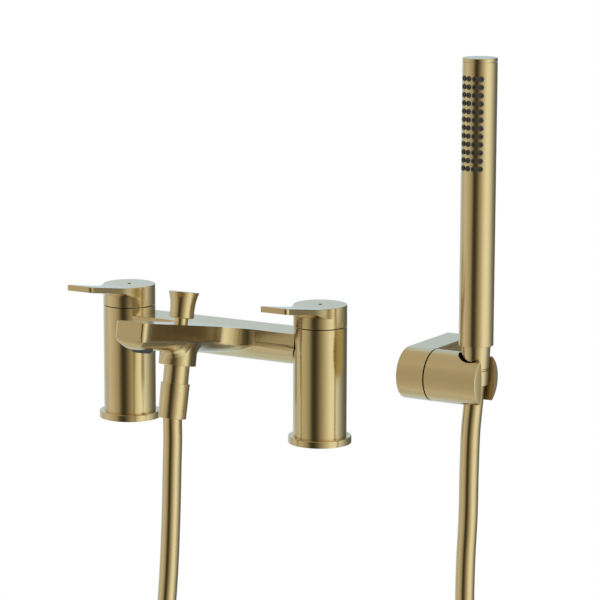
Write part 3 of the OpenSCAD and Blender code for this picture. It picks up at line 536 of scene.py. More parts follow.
def make_hose(material):
    """The hose in three joined lengths: fixed below the spout, the loop below the cradle, and into the handset."""
    path = smooth_path(hose_controls(), HOSE_FINE)
    split = len(path) - 1 - HOSE_SPLIT * HOSE_FINE
    lowest = min(range(len(path)), key=lambda i: path[i].z)
    a = radians(SPOUT_RISE)
    out_heading, in_heading = Vector((0, -sin(a), -cos(a))), Vector((0, 0, 1))
    low_heading = path[lowest + 1] - path[lowest - 1]
    split_heading = path[split + 1] - path[split - 1]
    near = tube("hose_mixer_side", path[:lowest + 1], out_heading, low_heading, material)
    far = tube("hose_handset_side", path[lowest:split + 1], low_heading, split_heading, material)
    top = tube("hose_end", path[split:], split_heading, in_heading, material)
    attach(near, "fixed")
    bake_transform(far)
    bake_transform(top)
    hose_cord("hose")
    hose_cord("hose")
    hose_cord("hose_top")


# Shapes in mesh code

# Edges that turn by more than a sharp angle are rounded. What turns more by HARD_MORE stays hard in the shading.
SHARP = 30
TURNED_SHARP = 34
HARD_MORE = 8
NORMAL_WEIGHT = 80
# A corner takes at most this share of the sides it joins, and is left alone if its sides are this near to one line
CORNER_SHARE = 0.45
IN_LINE = 0.995


def clamped(share):
    return min(max(share, 0), 1)


def bevel(bm, edges, by, segments, clamp=True):
    bmesh.ops.bevel(bm, geom=edges, offset=by, segments=segments, profile=0.5, affect="EDGES", clamp_overlap=clamp)


def finish_mesh(bm, name, material, sharp=SHARP, round_by=0.0, segments=3):
    """Turns a bmesh in millimetres into an object, its sharp edges rounded and the rest shaded smooth."""
    bmesh.ops.recalc_face_normals(bm, faces=bm.faces[:])
    if round_by:
        edges = [e for e in bm.edges if len(e.link_faces) == 2 and e.calc_face_angle(0) > radians(sharp)]
        bevel(bm, edges, round_by, segments)
    for v in bm.verts:
        v.co *= MM
    mesh = bpy.data.meshes.new(name)
    bm.to_mesh(mesh)
    bm.free()
    for face in mesh.polygons:
        face.use_smooth = True
    mesh.set_sharp_from_angle(angle=radians(sharp + HARD_MORE))
    made = make_object(name, mesh, material)
    flatten = made.modifiers.new("flatten", "WEIGHTED_NORMAL")
    flatten.keep_sharp = True
    flatten.weight = NORMAL_WEIGHT
    return made


def arc_points(cx, cy, r, start, end, steps):
    """Points of an arc about (cx, cy), angles in degrees."""
    turns = [radians(start + (end - start) * i / steps) for i in range(steps + 1)]
    return [(cx + r * cos(t), cy + r * sin(t)) for t in turns]


def prism(bm, outline, low, high):
    """A closed prism over an outline, its lower and upper faces at the two heights."""
    bottom = [bm.verts.new((x, y, low)) for x, y in outline]
    top = [bm.verts.new((x, y, high)) for x, y in outline]
    bm.faces.new(bottom[::-1])
    bm.faces.new(top)
    count = len(outline)
    for i in range(count):
        j = (i + 1) % count
        bm.faces.new((bottom[i], bottom[j], top[j], top[i]))


def slice_across(bm, places, axis=(0, 1, 0)):
    """Cuts every face at each place along an axis, so that a bend or dip has points to follow."""
    for place in places:
        geometry = bm.verts[:] + bm.edges[:] + bm.faces[:]
        bmesh.ops.bisect_plane(bm, geom=geometry, plane_co=Vector(axis) * place, plane_no=axis)


def lathe(bm, section, steps=96, place=None):
    """Turns a section of (radius, height) points about Z into a closed skin. Points on the axis close it."""
    rings = []
    for r, z in section:
        count = 1 if r < 1e-6 else steps
        turns = [2 * pi * k / steps for k in range(count)]
        rings.append([bm.verts.new((r * cos(turn), r * sin(turn), z)) for turn in turns])
    closed = section[0][0] > 1e-6 and section[-1][0] > 1e-6
    pairs = list(zip(rings, rings[1:])) + ([(rings[-1], rings[0])] if closed else [])
    for a, b in pairs:
        for k in range(steps):
            j = (k + 1) % steps
            corners = [a[k % len(a)], a[j % len(a)], b[j % len(b)], b[k % len(b)]]
            unique = list(dict.fromkeys(corners))
            if len(unique) > 2:
                bm.faces.new(unique)
    if place is not None:
        for ring in rings:
            for v in ring:
                v.co = place @ v.co


def rounded(section, by, steps=3):
    """The section with each inner corner cut to a small arc. Each by is one radius or a list of them."""
    done = [section[0]]
    for i in range(1, len(section) - 1):
        before, here, after = (Vector(section[k]) for k in (i - 1, i, i + 1))
        a, b = before - here, after - here
        reach = by[i] if isinstance(by, (list, tuple)) else by
        reach = min(reach, CORNER_SHARE * a.length, CORNER_SHARE * b.length)
        if reach <= 0 or abs(a.normalized().dot(b.normalized())) > IN_LINE:
            done.append(section[i])
            continue
        p, q = here + a.normalized() * reach, here + b.normalized() * reach
        for k in range(steps + 1):
            t = k / steps
            point = p * (1 - t) ** 2 + here * 2 * t * (1 - t) + q * t * t
            done.append((point.x, point.y))
    return done + [section[-1]]


# The casting of bridge and spout, in a bent frame: across, along from the bridge's front edge, up from the top face

BEND = 7.0
SLAB = 12.1
ROOT_HALF = 16.2
TIP_HALF = 15.0
TIP_CORNER = 4.5
TIP_CORNER_BACK = 9.0
FLARE_R = 25.0
ROOT_AT = BRIDGE_LIP - FLARE_R
KEEL = 15.0
BOSS_R = 14.65
BOSS_LOW = -32.2
BOSS_FILLET = 6.5
KEEL_DEEP = 9.4
TIP_ROLL = 12.0
BODY_GAP = 0.1
SLAB_ROUND = 0.7
CORNER_STEPS = 12
FLARE_STEPS = 24

# The underside: the power of its curve across at the tip and root, and where the spout's hull fades into the bridge
TIP_POWER = 3.2
ROOT_POWER = 2.0
HULL_FADE_FROM = -2.0
HULL_FADE_OVER = 18.0
JOIN_POWER = 2.2
BOSS_TOP = -14.0
BOSS_ROUND = 0.6
BOSS_MARGIN = 4.0
EDGE_INSET = 0.35
EDGE_LIFT = 0.5
BLOCK_RISE = 3.0
SPOUT_ROWS = 146
SPOUT_ROW = 0.8
JOIN_ROWS = [0.3, 0.6, BRIDGE_LIP]
SPOUT_COLUMNS = 60
BRIDGE_ROWS = 48
BRIDGE_COLUMNS = 110


def bent(x, s, t):
    """The shared frame's point for a point of the bent frame."""
    rise = radians(SPOUT_RISE)
    if s <= -BEND:
        angle, y, z = rise, s * cos(rise), -s * sin(rise)
    elif s >= BEND:
        angle, y, z = 0.0, s, 0.0
    else:
        share = (s + BEND) / (2 * BEND)
        angle = rise * (1 - share)
        turn = rise / (2 * BEND)
        y = -BEND * cos(rise) + (sin(rise) - sin(angle)) / turn
        z = BEND * sin(rise) - (cos(angle) - cos(rise)) / turn
    return Vector((x, -SPOUT_START + y + t * sin(angle), BRIDGE_TOP + z + t * cos(angle)))


def body_end(s):
    """Half the bridge's length where it meets the pillars, at a place along."""
    across = s - BRIDGE_LIP - BRIDGE_HALF
    return PILLAR_X - (max((PILLAR_R + BODY_GAP) ** 2 - across ** 2, 0)) ** 0.5


def spout_side():
    """The right edge of the spout and bridge in plan, from the tip's middle to the back."""
    side = [(0, -SPOUT_LEN)]
    for k in range(CORNER_STEPS + 1):
        turn = radians(90 * k / CORNER_STEPS)
        across = TIP_HALF - TIP_CORNER + TIP_CORNER * sin(turn)
        side.append((across, TIP_CORNER_BACK - SPOUT_LEN - TIP_CORNER_BACK * cos(turn)))
    side += arc_points(ROOT_HALF + FLARE_R, BRIDGE_LIP - FLARE_R, FLARE_R, 180, 90, FLARE_STEPS)
    ends = [BRIDGE_LIP + 2 * BRIDGE_HALF * i / CORNER_STEPS for i in range(CORNER_STEPS + 1)]
    return side + [(body_end(s), s) for s in ends]


def half_width(s):
    """Half the spout's width in plan, at a place along."""
    if s < ROOT_AT:
        return TIP_HALF + (ROOT_HALF - TIP_HALF) * (s + SPOUT_LEN) / (ROOT_AT + SPOUT_LEN)
    down = min(max(BRIDGE_LIP - s, 0), FLARE_R)
    return ROOT_HALF + FLARE_R - (FLARE_R ** 2 - (FLARE_R - down) ** 2) ** 0.5


def under_depth(x, s):
    """Depth of the underside below the top face: the spout's hull, the bridge's keel and the joint of the boss."""
    share = clamped((s + SPOUT_LEN) / (ROOT_AT + SPOUT_LEN))
    power = TIP_POWER - (TIP_POWER - ROOT_POWER) * share
    back = max(1 - (s + SPOUT_LEN) / TIP_ROLL, 0)
    fade = clamped(1 - (s - HULL_FADE_FROM) / HULL_FADE_OVER)
    hull = KEEL_DEEP * max(1 - (abs(x) / half_width(s)) ** power, 0) * (1 - back * back) ** 0.5
    hull *= fade * fade * (3 - 2 * fade)
    across = (s - BRIDGE_LIP - BRIDGE_HALF) / BRIDGE_HALF
    keel = KEEL * max(1 - across * across, 0)
    depth = (hull ** JOIN_POWER + keel ** JOIN_POWER) ** (1 / JOIN_POWER)
    out = hypot(x, s - DIVERTER_Y) - BOSS_R
    if out < BOSS_FILLET:
        inner = BOSS_FILLET - max(out, 0)
        near = clamped((half_width(min(s, BRIDGE_LIP)) - abs(x)) / BOSS_MARGIN)
        depth += (BOSS_FILLET - (BOSS_FILLET ** 2 - inner ** 2) ** 0.5) * near
    return SLAB + depth


def under_half(s):
    """Half the width of the spout's underside, just inside the slab's edge and round its front corners."""
    half = half_width(s) - EDGE_INSET
    if s < -SPOUT_LEN + TIP_CORNER_BACK:
        share = 1 - (s + SPOUT_LEN) / TIP_CORNER_BACK
        half -= TIP_CORNER * (1 - (1 - share * share) ** 0.5)
    return half


def under_block(bm, rows, columns):
    """A closed block over rows of (place along, half width), its lower face on the curve of the underside."""
    lower = []
    for s, half in rows:
        line = []
        for k in range(columns + 1):
            x = half * (2 * k / columns - 1)
            edge = k in (0, columns) or (s == BRIDGE_LIP and abs(x) > ROOT_HALF + FLARE_R)
            line.append(bm.verts.new((x, s, -under_depth(x, s) + (EDGE_LIFT if edge else 0))))
        lower.append(line)
    upper = [[bm.verts.new((v.co.x, v.co.y, BLOCK_RISE - SLAB)) for v in line] for line in lower]
    for i in range(len(rows) - 1):
        for k in range(columns):
            bm.faces.new((lower[i][k], lower[i][k + 1], lower[i + 1][k + 1], lower[i + 1][k]))
            bm.faces.new((upper[i][k], upper[i + 1][k], upper[i + 1][k + 1], upper[i][k + 1]))
        for k in (0, columns):
            bm.faces.new((lower[i][k], lower[i + 1][k], upper[i + 1][k], upper[i][k]))
    for i in (0, len(rows) - 1):
        for k in range(columns):
            bm.faces.new((lower[i][k], lower[i][k + 1], upper[i][k + 1], upper[i][k]))


def merge(bm, other):
    """Adds another bmesh to this one and uses it up."""
    holder = bpy.data.meshes.new("merged")
    other.to_mesh(holder)
    other.free()
    bm.from_mesh(holder)
    bpy.data.meshes.remove(holder)


def make_casting(material):
    bm = bmesh.new()
    side = spout_side()
    outline = side + [(-x, s) for x, s in side[:0:-1]]
    prism(bm, outline, -SLAB, 0)
    edges = [e for e in bm.edges if abs(e.verts[0].co.z - e.verts[1].co.z) < 1e-6]
    bevel(bm, edges, SLAB_ROUND, 4, clamp=False)
    slice_across(bm, [BEND * k / 4 for k in range(-4, 5)])
    under = bmesh.new()
    spout_rows = [-SPOUT_LEN + (k + 0.5) * SPOUT_ROW for k in range(SPOUT_ROWS)] + JOIN_ROWS
    bridge_rows = [BRIDGE_LIP + 2 * BRIDGE_HALF * k / BRIDGE_ROWS for k in range(BRIDGE_ROWS + 1)]
    under_block(under, [(s, under_half(s)) for s in spout_rows], SPOUT_COLUMNS)
    under_block(under, [(s, body_end(s)) for s in bridge_rows], BRIDGE_COLUMNS)
    boss = [(0, BOSS_LOW), (BOSS_R, BOSS_LOW), (BOSS_R, BOSS_TOP), (0, BOSS_TOP)]
    lathe(under, rounded(boss, [0, BOSS_ROUND, 0, 0]), place=Matrix.Translation((0, DIVERTER_Y, 0)))
    merge(bm, under)
    for v in bm.verts:
        v.co = bent(*v.co)
    casting = finish_mesh(bm, "mixer_casting", material, sharp=TURNED_SHARP)
    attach(casting, "fixed")
    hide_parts("mixer_body")


# Handles: each a turned cap and a flared flat lever in one closed skin

HANDLE_LOW = 93.6
HANDLE_TOP = 110.2
LEVER_HALF = 12.7
LEVER_TIP = 71.0
LEVER_CORNER = 3.4
LEVER_FLARE = 40.0
LEVER_SHARP = 40
LEVER_ROUND = 0.35
# Rows of the lever: reach, height of the top face and height of the lower face
LEVER_RISE = [
    (-9, 110.2, 104.8), (-14, 110.2, 104.5), (-16.5, 110.25, 104.65), (-19, 110.36, 104.9), (-24, 110.76, 105.56),
    (-29, 111.48, 107.1), (-34, 112.36, 108.1), (-72, 118.8, 114.1)]
LEVER_CUTS = [-21.5, -26.5, -31.5, -40, -50, -60]
# The lower face dips where it runs into the cap, and is cut into a grid there
DIP = 2.6
DIP_REACH = 6.5
DIP_START = -8.5
DIP_RUN = 2.0
DIP_INNER = 3.0
DIP_ROWS = [-8.7 - k * 0.8 for k in range(26)]
DIP_COLUMNS = [k - 17 for k in range(35)]
CAP_WALL = 3.2
CAP_ROOF = 104.2
CAP_OVER = 105.4
CAP_INNER_ROUND = 0.2
DOT_R = 1.5


def lever_height(y, column):
    """Height of the lever's top face (column 1) or lower face (column 2) at a reach."""
    if y >= LEVER_RISE[0][0]:
        return LEVER_RISE[0][column]
    for low, high in zip(LEVER_RISE, LEVER_RISE[1:]):
        if high[0] <= y <= low[0]:
            return low[column] + (high[column] - low[column]) * (y - low[0]) / (high[0] - low[0])
    return LEVER_RISE[-1][column]


def lever_dip(x, y):
    """How far the lever's lower face dips where it runs into the cap's wall."""
    out = hypot(x, y) - PILLAR_R
    if out < -DIP_INNER:
        return 0
    return DIP * clamped((DIP_START - y) / DIP_RUN) * clamped(1 - out / DIP_REACH)


def lever_plan():
    """The lever's and cap's right half in plan, from the tip's middle to the back of the cap."""
    reach = LEVER_HALF + LEVER_FLARE
    centre = -((PILLAR_R + LEVER_FLARE) ** 2 - reach ** 2) ** 0.5
    start = degrees(atan2(-centre, -reach))
    corner = arc_points(LEVER_HALF - LEVER_CORNER, LEVER_CORNER - LEVER_TIP, LEVER_CORNER, -90, 0, 6)
    side = [(0, -LEVER_TIP)] + corner
    side += arc_points(reach, centre, LEVER_FLARE, 180, start, 16)
    touch = degrees(atan2(centre, reach))
    return side, touch


def make_handle(side, material):
    plan, touch = lever_plan()
    plan += arc_points(0, 0, PILLAR_R, touch, 90, 40)[1:]
    outline = plan + [(-x, y) for x, y in plan[-2:0:-1]]
    bm = bmesh.new()
    prism(bm, outline, 0, 1)
    slice_across(bm, [row[0] for row in LEVER_RISE[:-1]] + LEVER_CUTS)
    for v in bm.verts:
        v.co.z = lever_height(v.co.y, 1 if v.co.z > 0.5 else 2)
    edges = [e for e in bm.edges if e.calc_face_angle(0) > radians(LEVER_SHARP)]
    bevel(bm, edges, LEVER_ROUND, 3)
    slice_across(bm, DIP_ROWS)
    slice_across(bm, DIP_COLUMNS, (1, 0, 0))
    for v in bm.verts:
        if v.co.z < (lever_height(v.co.y, 1) + lever_height(v.co.y, 2)) / 2:
            v.co.z -= lever_dip(v.co.x, v.co.y)
    inner = PILLAR_R - CAP_WALL
    cap = [(0, CAP_ROOF), (inner, CAP_ROOF), (inner, HANDLE_LOW), (PILLAR_R, HANDLE_LOW), (PILLAR_R, CAP_OVER),
           (0, CAP_OVER)]
    lathe(bm, rounded(cap, [0, 0, CAP_INNER_ROUND, LEVER_ROUND, 0, 0]), 128)
    for v in bm.verts:
        v.co.x += side * PILLAR_X
    name = "cold" if side > 0 else "hot"
    handle = finish_mesh(bm, name + "_lever_cap", material, sharp=TURNED_SHARP)
    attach(handle, name + "_valve")
    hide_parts(name + "_handle")


def make_handles(looks):
    """The handles and the small enamel drops let into their tops."""
    drop = [(0, -0.6), (DOT_R, -0.6), (DOT_R, 0.1), (1, 0.3), (0, 0.35)]
    for side, name, tint in ((-1, "hot", "red"), (1, "cold", "blue")):
        make_handle(side, looks["lever"])
        place = Matrix.Translation((side * PILLAR_X, 0, HANDLE_TOP))
        turned(name + "_drop", drop, 0, place, name + "_valve", [name + "_dot"], looks[tint], 48)


# Turned pieces of the mixer. Sections are rows of radius and height.

KNOB = [
    (3, 4.7), (9, 4.7), (9.5, 5.2), (9.5, 10.7), (9.65, 13.7), (9.95, 16.7), (10.45, 19.6), (11.05, 22.0),
    (11.75, 24.0), (11.95, 24.9), (11.65, 25.2), (0, 25.2)]
KNOB_ROUND = 0.25
FOOT_R = 18.05
FOOT_GAP = 0.05
BASE_R = 25.1
BASE_TOP = 5.5
BASE_EDGE = 0.9
GASKET_R = 23.35
GASKET_T = 1.2
PILLAR_TOP = 93.0
PILLAR_EDGE = 0.35
INLET_R = 12.06
INLET_DEPTH = 15.0
FEED_R = 7.5
CHAMBER_R = 14.2
CHAMBER_FLOOR = 46.0
GLAND_R = 16.8
GLAND_FLOOR = 84.0
NECK_LOW = -58.0
NECK_HIGH = -29.2
NUT_TOP = -46.3
NUT_SEAT = -61.5
NUT_BORE = 7.7
AERATOR_AT = -(SPOUT_LEN - 19.5)
AERATOR = [
    (5.9, -22.2), (5.9, -23.4), (7.1, -23.4), (8.9, -21.4), (8.9, -13.6), (7.3, -13.6), (7.3, -22.2), (5.9, -22.2)]


def tilted(y):
    """The place of a line square to the spout's top face, at a distance along the spout."""
    return Matrix.Translation(spout_point(0, y, 0)) @ Matrix.Rotation(radians(-SPOUT_RISE), 4, "X")


def turned(name, section, round_by, place, body, nodes, material, steps=96):
    """A turned piece on a body, in place of nodes of the frame."""
    bm = bmesh.new()
    lathe(bm, rounded(section, round_by), steps, place)
    made = finish_mesh(bm, name, material, sharp=TURNED_SHARP)
    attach(made, body)
    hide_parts(*nodes)
    return made


def make_knob(material):
    smooth = [(p.x, p.y) for p in smooth_path([Vector((r, z)) for r, z in KNOB[3:9]], 4)]
    section = KNOB[:3] + smooth + KNOB[9:]
    turned("flared_knob", section, KNOB_ROUND, tilted(DIVERTER_Y), "diverter", ["diverter_knob"], material)


def make_feet(material):
    section = [(FOOT_R, GASKET_T), (GASKET_R, GASKET_T), (GASKET_R, 0), (BASE_R, 0), (BASE_R, BASE_TOP),
               (FOOT_R, BASE_TOP), (FOOT_R, GASKET_T)]
    edges = [0, 0, 0, 0.2, BASE_EDGE, 0, 0]
    for side, name in ((-1, "hot"), (1, "cold")):
        place = Matrix.Translation((side * PILLAR_X, 0, 0))
        turned(name + "_foot_ring", section, edges, place, "fixed", [name + "_base_ring"], material, 128)


def make_pillars(material):
    foot = FOOT_R - FOOT_GAP
    section = [(INLET_R, 0), (foot, 0), (foot, BASE_TOP), (PILLAR_R, BASE_TOP), (PILLAR_R, PILLAR_TOP),
               (GLAND_R, PILLAR_TOP), (GLAND_R, GLAND_FLOOR), (CHAMBER_R, GLAND_FLOOR), (CHAMBER_R, CHAMBER_FLOOR),
               (FEED_R, CHAMBER_FLOOR), (FEED_R, INLET_DEPTH), (INLET_R, INLET_DEPTH), (INLET_R, 0)]
    edges = [0, 0, 0, 0, PILLAR_EDGE] + [0] * 8
    for side, name in ((-1, "hot"), (1, "cold")):
        place = Matrix.Translation((side * PILLAR_X, 0, 0))
        turned(name + "_column", section, edges, place, "fixed", [name + "_pillar"], material, 128)


def make_outlet(material):
    place = tilted(DIVERTER_Y)
    spigot = [(6, NECK_LOW), (9.6, NECK_LOW), (9.6, NUT_TOP), (10, NUT_TOP), (10, BOSS_LOW), (9.55, BOSS_LOW),
              (9.55, NECK_HIGH), (6, NECK_HIGH), (6, NECK_LOW)]
    nut = [(NUT_BORE, NUT_LOW), (11, NUT_LOW), (11.4, NUT_TOP), (9.65, NUT_TOP), (9.65, NUT_SEAT),
           (NUT_BORE, NUT_SEAT), (NUT_BORE, NUT_LOW)]
    turned("outlet_neck", spigot, 0, place, "fixed", ["outlet_spigot"], material)
    turned("outlet_nut", nut, [0, 0.5, 0.4, 0, 0, 0, 0], place, "fixed", ["mixer_hose_nut"], material)


def make_aerator(material):
    edges = [0, 0, 0.3, 0.3, 0, 0, 0, 0]
    turned("aerator_ring", AERATOR, edges, tilted(AERATOR_AT), "fixed", ["aerator_housing"], material)


# Handset: nut, stem with its ring between two grooves, tube, end cap and nozzles

NUT_JOIN = 71.0
HAND_NUT_SEAT = 64.6
STEM_JOIN = 72.9
STEM_LOW = 67.1
STEM_IN = 12.0
STEM_BORE = 4.5
RING_GROOVE = 0.5
RING_R = 10.2
GROOVE_R = 8.6
SHOULDER_Z = 90.2
TUBE_TOP = 306.25
TUBE_R = 13.3
TUBE_WALL = 1.7
TUBE_GAP = 0.05
CAP_LOW = 306.6
CAP_TOP = 309.4
CAP_IN = 7.0
NOZZLE_ROWS = 12
NOZZLE_PITCH = 6.14
NOZZLE_TOP = 294.3
NOZZLE_TURNS = (-32.4, -10.8, 10.8, 32.4)
NOZZLE_SECTION = [
    (0, 11.1), (2.1, 11.1), (2.1, 13.75), (2.0, 13.98), (1.8, 14.08), (0.85, 14.08), (0.75, 13.98), (0.7, 13.4),
    (0, 13.4)]
MAT_OUT = 11.5
MAT_IN = 10.6
MAT_OVER = 5


def make_handset(looks):
    place = Matrix.Translation((HANDSET_X, PIVOT_Y, 0))
    bore = TUBE_R - TUBE_WALL
    plug = bore - TUBE_GAP
    cap = [(0, CAP_LOW - CAP_IN), (plug, CAP_LOW - CAP_IN), (plug, CAP_LOW), (TUBE_R, CAP_LOW), (TUBE_R, CAP_TOP),
           (0, CAP_TOP)]
    tube_section = [(bore, SHOULDER_Z), (TUBE_R, SHOULDER_Z), (TUBE_R, TUBE_TOP), (bore, TUBE_TOP), (bore, SHOULDER_Z)]
    ring_low, ring_high = NUT_JOIN + RING_GROOVE, STEM_JOIN - RING_GROOVE
    start, end = NUT_JOIN + 0.1, SHOULDER_Z + STEM_IN
    stem = [(STEM_BORE, STEM_LOW), (8, STEM_LOW), (8, start), (GROOVE_R, start), (GROOVE_R, ring_low),
            (RING_R, ring_low), (RING_R, ring_high), (GROOVE_R, ring_high), (GROOVE_R, STEM_JOIN), (10.3, STEM_JOIN),
            (11.2, SHOULDER_Z), (plug, SHOULDER_Z), (plug, end), (STEM_BORE, end), (STEM_BORE, STEM_LOW)]
    stem_edges = [0, 0, 0, 0, 0, 0.1, 0.1, 0, 0, 0.15, 0, 0, 0, 0, 0]
    nut = [(NUT_BORE, HAND_NUT_Z), (9.6, HAND_NUT_Z), (10.2, NUT_JOIN), (8.05, NUT_JOIN), (8.05, HAND_NUT_SEAT),
           (NUT_BORE, HAND_NUT_SEAT), (NUT_BORE, HAND_NUT_Z)]
    brass = looks["turned"]
    turned("tube_end", cap, [0, 0, 0, 0.15, 0.6, 0], place, "handset", ["handset_end_cap"], brass)
    turned("tube_body", tube_section, [0, 0.5, 0.15, 0, 0], place, "handset", ["handset_tube"], brass, 128)
    turned("tube_stem", stem, stem_edges, place, "handset", ["handset_stem"], brass)
    turned("tube_nut", nut, [0, 0.4, 0.25, 0, 0, 0, 0], place, "handset", ["handset_hose_nut"], brass)
    make_nozzles(place, looks["nozzle"])


def make_nozzles(place, material):
    """The rubber nozzles and the curved mat behind them."""
    bm = bmesh.new()
    for row in range(NOZZLE_ROWS):
        for turn in NOZZLE_TURNS:
            lift = Matrix.Translation((0, 0, NOZZLE_TOP - row * NOZZLE_PITCH))
            out = Matrix.Rotation(radians(turn), 4, "Z") @ Matrix.Rotation(radians(90), 4, "X")
            lathe(bm, NOZZLE_SECTION, 16, place @ lift @ out)
    mat = bmesh.new()
    high = NOZZLE_TOP + MAT_OVER
    low = NOZZLE_TOP - (NOZZLE_ROWS - 1) * NOZZLE_PITCH - MAT_OVER
    prism(mat, arc_points(0, 0, MAT_OUT, -135, -45, 16) + arc_points(0, 0, MAT_IN, -45, -135, 16), low, high)
    for v in mat.verts:
        v.co = place @ v.co
    merge(bm, mat)
    nozzles = finish_mesh(bm, "nozzle_field", material, sharp=50)
    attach(nozzles, "handset")
    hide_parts("handset_nozzles")


# Wall bracket: the dark seam, the cradle with painted shade in its bore and slot, the liner and the side panel

CRADLE_R = 20.2
SEAM_X = 187.4
SEAM_GAP = 0.9
SEAM_DEEP = 1.4
SEAM_BORE = 9.5
DRUM_GAP = 0.3
RIM_X = 231.5
DOME_H = 2.2
SLOT_HALF = 10.65
SLOT_OUT = 20.0
BORE_TOP_R = 13.4
BORE_LOW_R = 11.9
MOUTH_LOW = 6.0
MOUTH_HIGH = 8.0
HUB_R = 9.0
HUB_IN = 8.0
AXLE_R = 3.0
AXLE_END = 198.4
# Rows of the liner: height from the pivot and inner radius
LINER = [
    (-19.9, 9.7), (-15, 9.7), (-8, 9.95), (6, 10.7), (8, 10.8), (10, 10.9), (13, 11.7), (15, 12.25), (17, 12.65),
    (18.5, 12.7), (19.9, 12.75)]
LINER_GAP = 0.05
LINER_IN = 0.3
PANEL_INSET = 2.2
PANEL_JOINT = 0.5
PANEL_T = 1.2
WALL_REACH = 65.3


def pivot_line():
    """The place of the cradle's axis, with heights along the wall."""
    return Matrix.Translation((0, PIVOT_Y, PIVOT_Z)) @ Matrix.Rotation(radians(90), 4, "Y")


def make_seam(material):
    """The dark washer that shows as a line between the bracket's block and the cradle."""
    rim = CRADLE_R - SEAM_DEEP
    section = [(SEAM_BORE, SEAM_X), (rim, SEAM_X), (rim, SEAM_X + SEAM_GAP), (SEAM_BORE, SEAM_X + SEAM_GAP),
               (SEAM_BORE, SEAM_X)]
    turned("cradle_seam", section, 0, pivot_line(), "fixed", ["cradle_friction_washer"], material)


def cut_away(solid, tools):
    """The solid's mesh with the tools' meshes taken away, as a new bmesh. The tools and the solid are used up."""
    for tool in tools:
        cut = solid.modifiers.new("cut", "BOOLEAN")
        cut.operation = "DIFFERENCE"
        cut.solver = "EXACT"
        cut.object = tool
    graph = bpy.context.evaluated_depsgraph_get()
    done = bmesh.new()
    done.from_mesh(bpy.data.meshes.new_from_object(solid.evaluated_get(graph)))
    for used in [solid] + tools:
        bpy.data.objects.remove(used)
    return done


def plain_object(name, bm):
    """An object in millimetres, to be cut or to cut with."""
    bmesh.ops.recalc_face_normals(bm, faces=bm.faces[:])
    mesh = bpy.data.meshes.new(name)
    bm.to_mesh(mesh)
    bm.free()
    made = bpy.data.objects.new(name, mesh)
    bpy.context.scene.collection.objects.link(made)
    return made


def bore_radius(z):
    """Radius of the cradle's conical bore at a height above the pivot."""
    return BORE_LOW_R + (BORE_TOP_R - BORE_LOW_R) * (z + CRADLE_R) / (2 * CRADLE_R)


def bore_start(z):
    """Angle at which the bore meets the slot: the bore's wide mouth reaches further round than its seat."""
    return 90 - 30 * clamped((z - MOUTH_LOW) / (MOUTH_HIGH - MOUTH_LOW))


def loft(bm, rings):
    """A closed skin over rings of as many points each, the first and last rings capped."""
    made = [[bm.verts.new(p) for p in ring] for ring in rings]
    count = len(rings[0])
    for low, high in zip(made, made[1:]):
        for i in range(count):
            j = (i + 1) % count
            bm.faces.new((low[i], low[j], high[j], high[i]))
    bm.faces.new(made[0][::-1])
    bm.faces.new(made[-1])


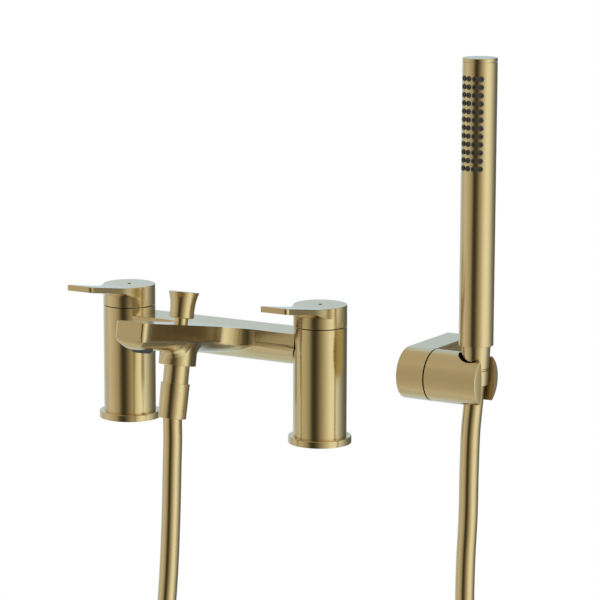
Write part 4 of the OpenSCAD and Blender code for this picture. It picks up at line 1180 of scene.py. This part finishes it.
def make_cradle(material, bore_shade, end):
    """The swivelling cradle: a domed drum with a conical bore and an open slot, whose inside faces take a darker brass
    as painted shade.
    """
    drum_x = SEAM_X + SEAM_GAP + DRUM_GAP
    turns = [radians(a) for a in range(5, 90, 5)]
    dome = [(CRADLE_R * cos(a), RIM_X + DOME_H * sin(a)) for a in turns]
    section = [(0, AXLE_END), (AXLE_R, AXLE_END), (AXLE_R, SEAM_X - HUB_IN), (HUB_R, SEAM_X - HUB_IN), (HUB_R, drum_x),
               (CRADLE_R, drum_x), (CRADLE_R, RIM_X)] + dome + [(0, RIM_X + DOME_H)]
    drum = bmesh.new()
    lathe(drum, section, 128, pivot_line())
    opening = bmesh.new()
    rings = []
    for z in (-CRADLE_R - 2, MOUTH_LOW, MOUTH_HIGH, CRADLE_R + 2):
        start = bore_start(z)
        corner = bore_radius(z) * cos(radians(start))
        ring = arc_points(0, 0, bore_radius(z), start, 360 - start, 64)
        ring += [(corner, -SLOT_HALF), (SLOT_OUT, -SLOT_HALF), (SLOT_OUT, SLOT_HALF), (corner, SLOT_HALF)]
        rings.append([(HANDSET_X + x, PIVOT_Y + y, PIVOT_Z + z) for x, y in ring])
    loft(opening, rings)
    bm = cut_away(plain_object("drum", drum), [plain_object("opening", opening)])
    for face in bm.faces:
        middle = face.calc_center_median()
        across, along = middle.y - PIVOT_Y, middle.x - HANDSET_X
        in_bore = hypot(across, along) < bore_radius(middle.z - PIVOT_Z) + 0.05
        in_slot = along > 0 and abs(across) < SLOT_HALF + 0.02
        # Bore and slot faces take the darker brass of painted shade, the domed end the satin brass
        face.material_index = 1 if in_bore or in_slot else 2 if middle.x > RIM_X + 0.01 else 0
    cradle = finish_mesh(bm, "cradle_drum", material, round_by=0.15, segments=2)
    cradle.data.materials.append(bore_shade)
    cradle.data.materials.append(end)
    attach(cradle, "cradle")
    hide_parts("cradle")


def make_liner(material):
    """The dark plastic seat in the back half of the cradle's bore, cut to the drum's curve."""
    bm = bmesh.new()
    rings = []
    for z, inner in LINER:
        start = bore_start(z) + 2
        ring = arc_points(0, 0, bore_radius(z) - LINER_GAP, start, 360 - start, 48)
        ring += arc_points(0, 0, inner, 360 - start, start, 48)
        tops = [((CRADLE_R - LINER_IN) ** 2 - y * y) ** 0.5 for x, y in ring]
        heights = [max(min(z, top), -top) for top in tops]
        rings.append([(HANDSET_X + x, PIVOT_Y + y, PIVOT_Z + h) for (x, y), h in zip(ring, heights)])
    loft(bm, rings)
    bmesh.ops.remove_doubles(bm, verts=bm.verts[:], dist=0.001)
    liner = finish_mesh(bm, "cradle_seat", material, sharp=40)
    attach(liner, "cradle")
    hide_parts("cradle_liner")


def make_panel(material):
    """The flat panel let into the bracket's side, with a fine dark joint round it."""
    low = PIVOT_Z - CRADLE_R + PANEL_INSET + PANEL_JOINT
    high = PIVOT_Z + CRADLE_R - PANEL_INSET - PANEL_JOINT
    front, back = PIVOT_Y + CRADLE_R - 1 + PANEL_JOINT, PIVOT_Y + WALL_REACH
    bm = bmesh.new()
    prism(bm, [(front, low), (back, low), (back, high), (front, high)], SEAM_X - PANEL_T, SEAM_X - 0.05)
    for v in bm.verts:
        v.co = v.co.z, v.co.x, v.co.y
    panel = finish_mesh(bm, "side_panel", material, round_by=0.1, segments=2)
    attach(panel, "fixed")
    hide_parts("bracket_side_panel")


# The scene

make_camera()
make_world()
make_floor()
make_lamp()
looks = make_materials()
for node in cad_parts:
    dress(node, looks[look_of(node)])
make_hose(looks["hose"])
make_casting(looks["spout"])
make_handles(looks)
make_knob(looks["turned"])
make_feet(looks["turned"])
make_pillars(looks["turned"])
make_outlet(looks["turned"])
make_seam(looks["rubber"])
make_cradle(looks["cradle"], looks["bore_shade"], looks["satin"])
make_liner(looks["rubber"])
make_panel(looks["cast"])
make_handset(looks)
make_aerator(looks["plastic"])
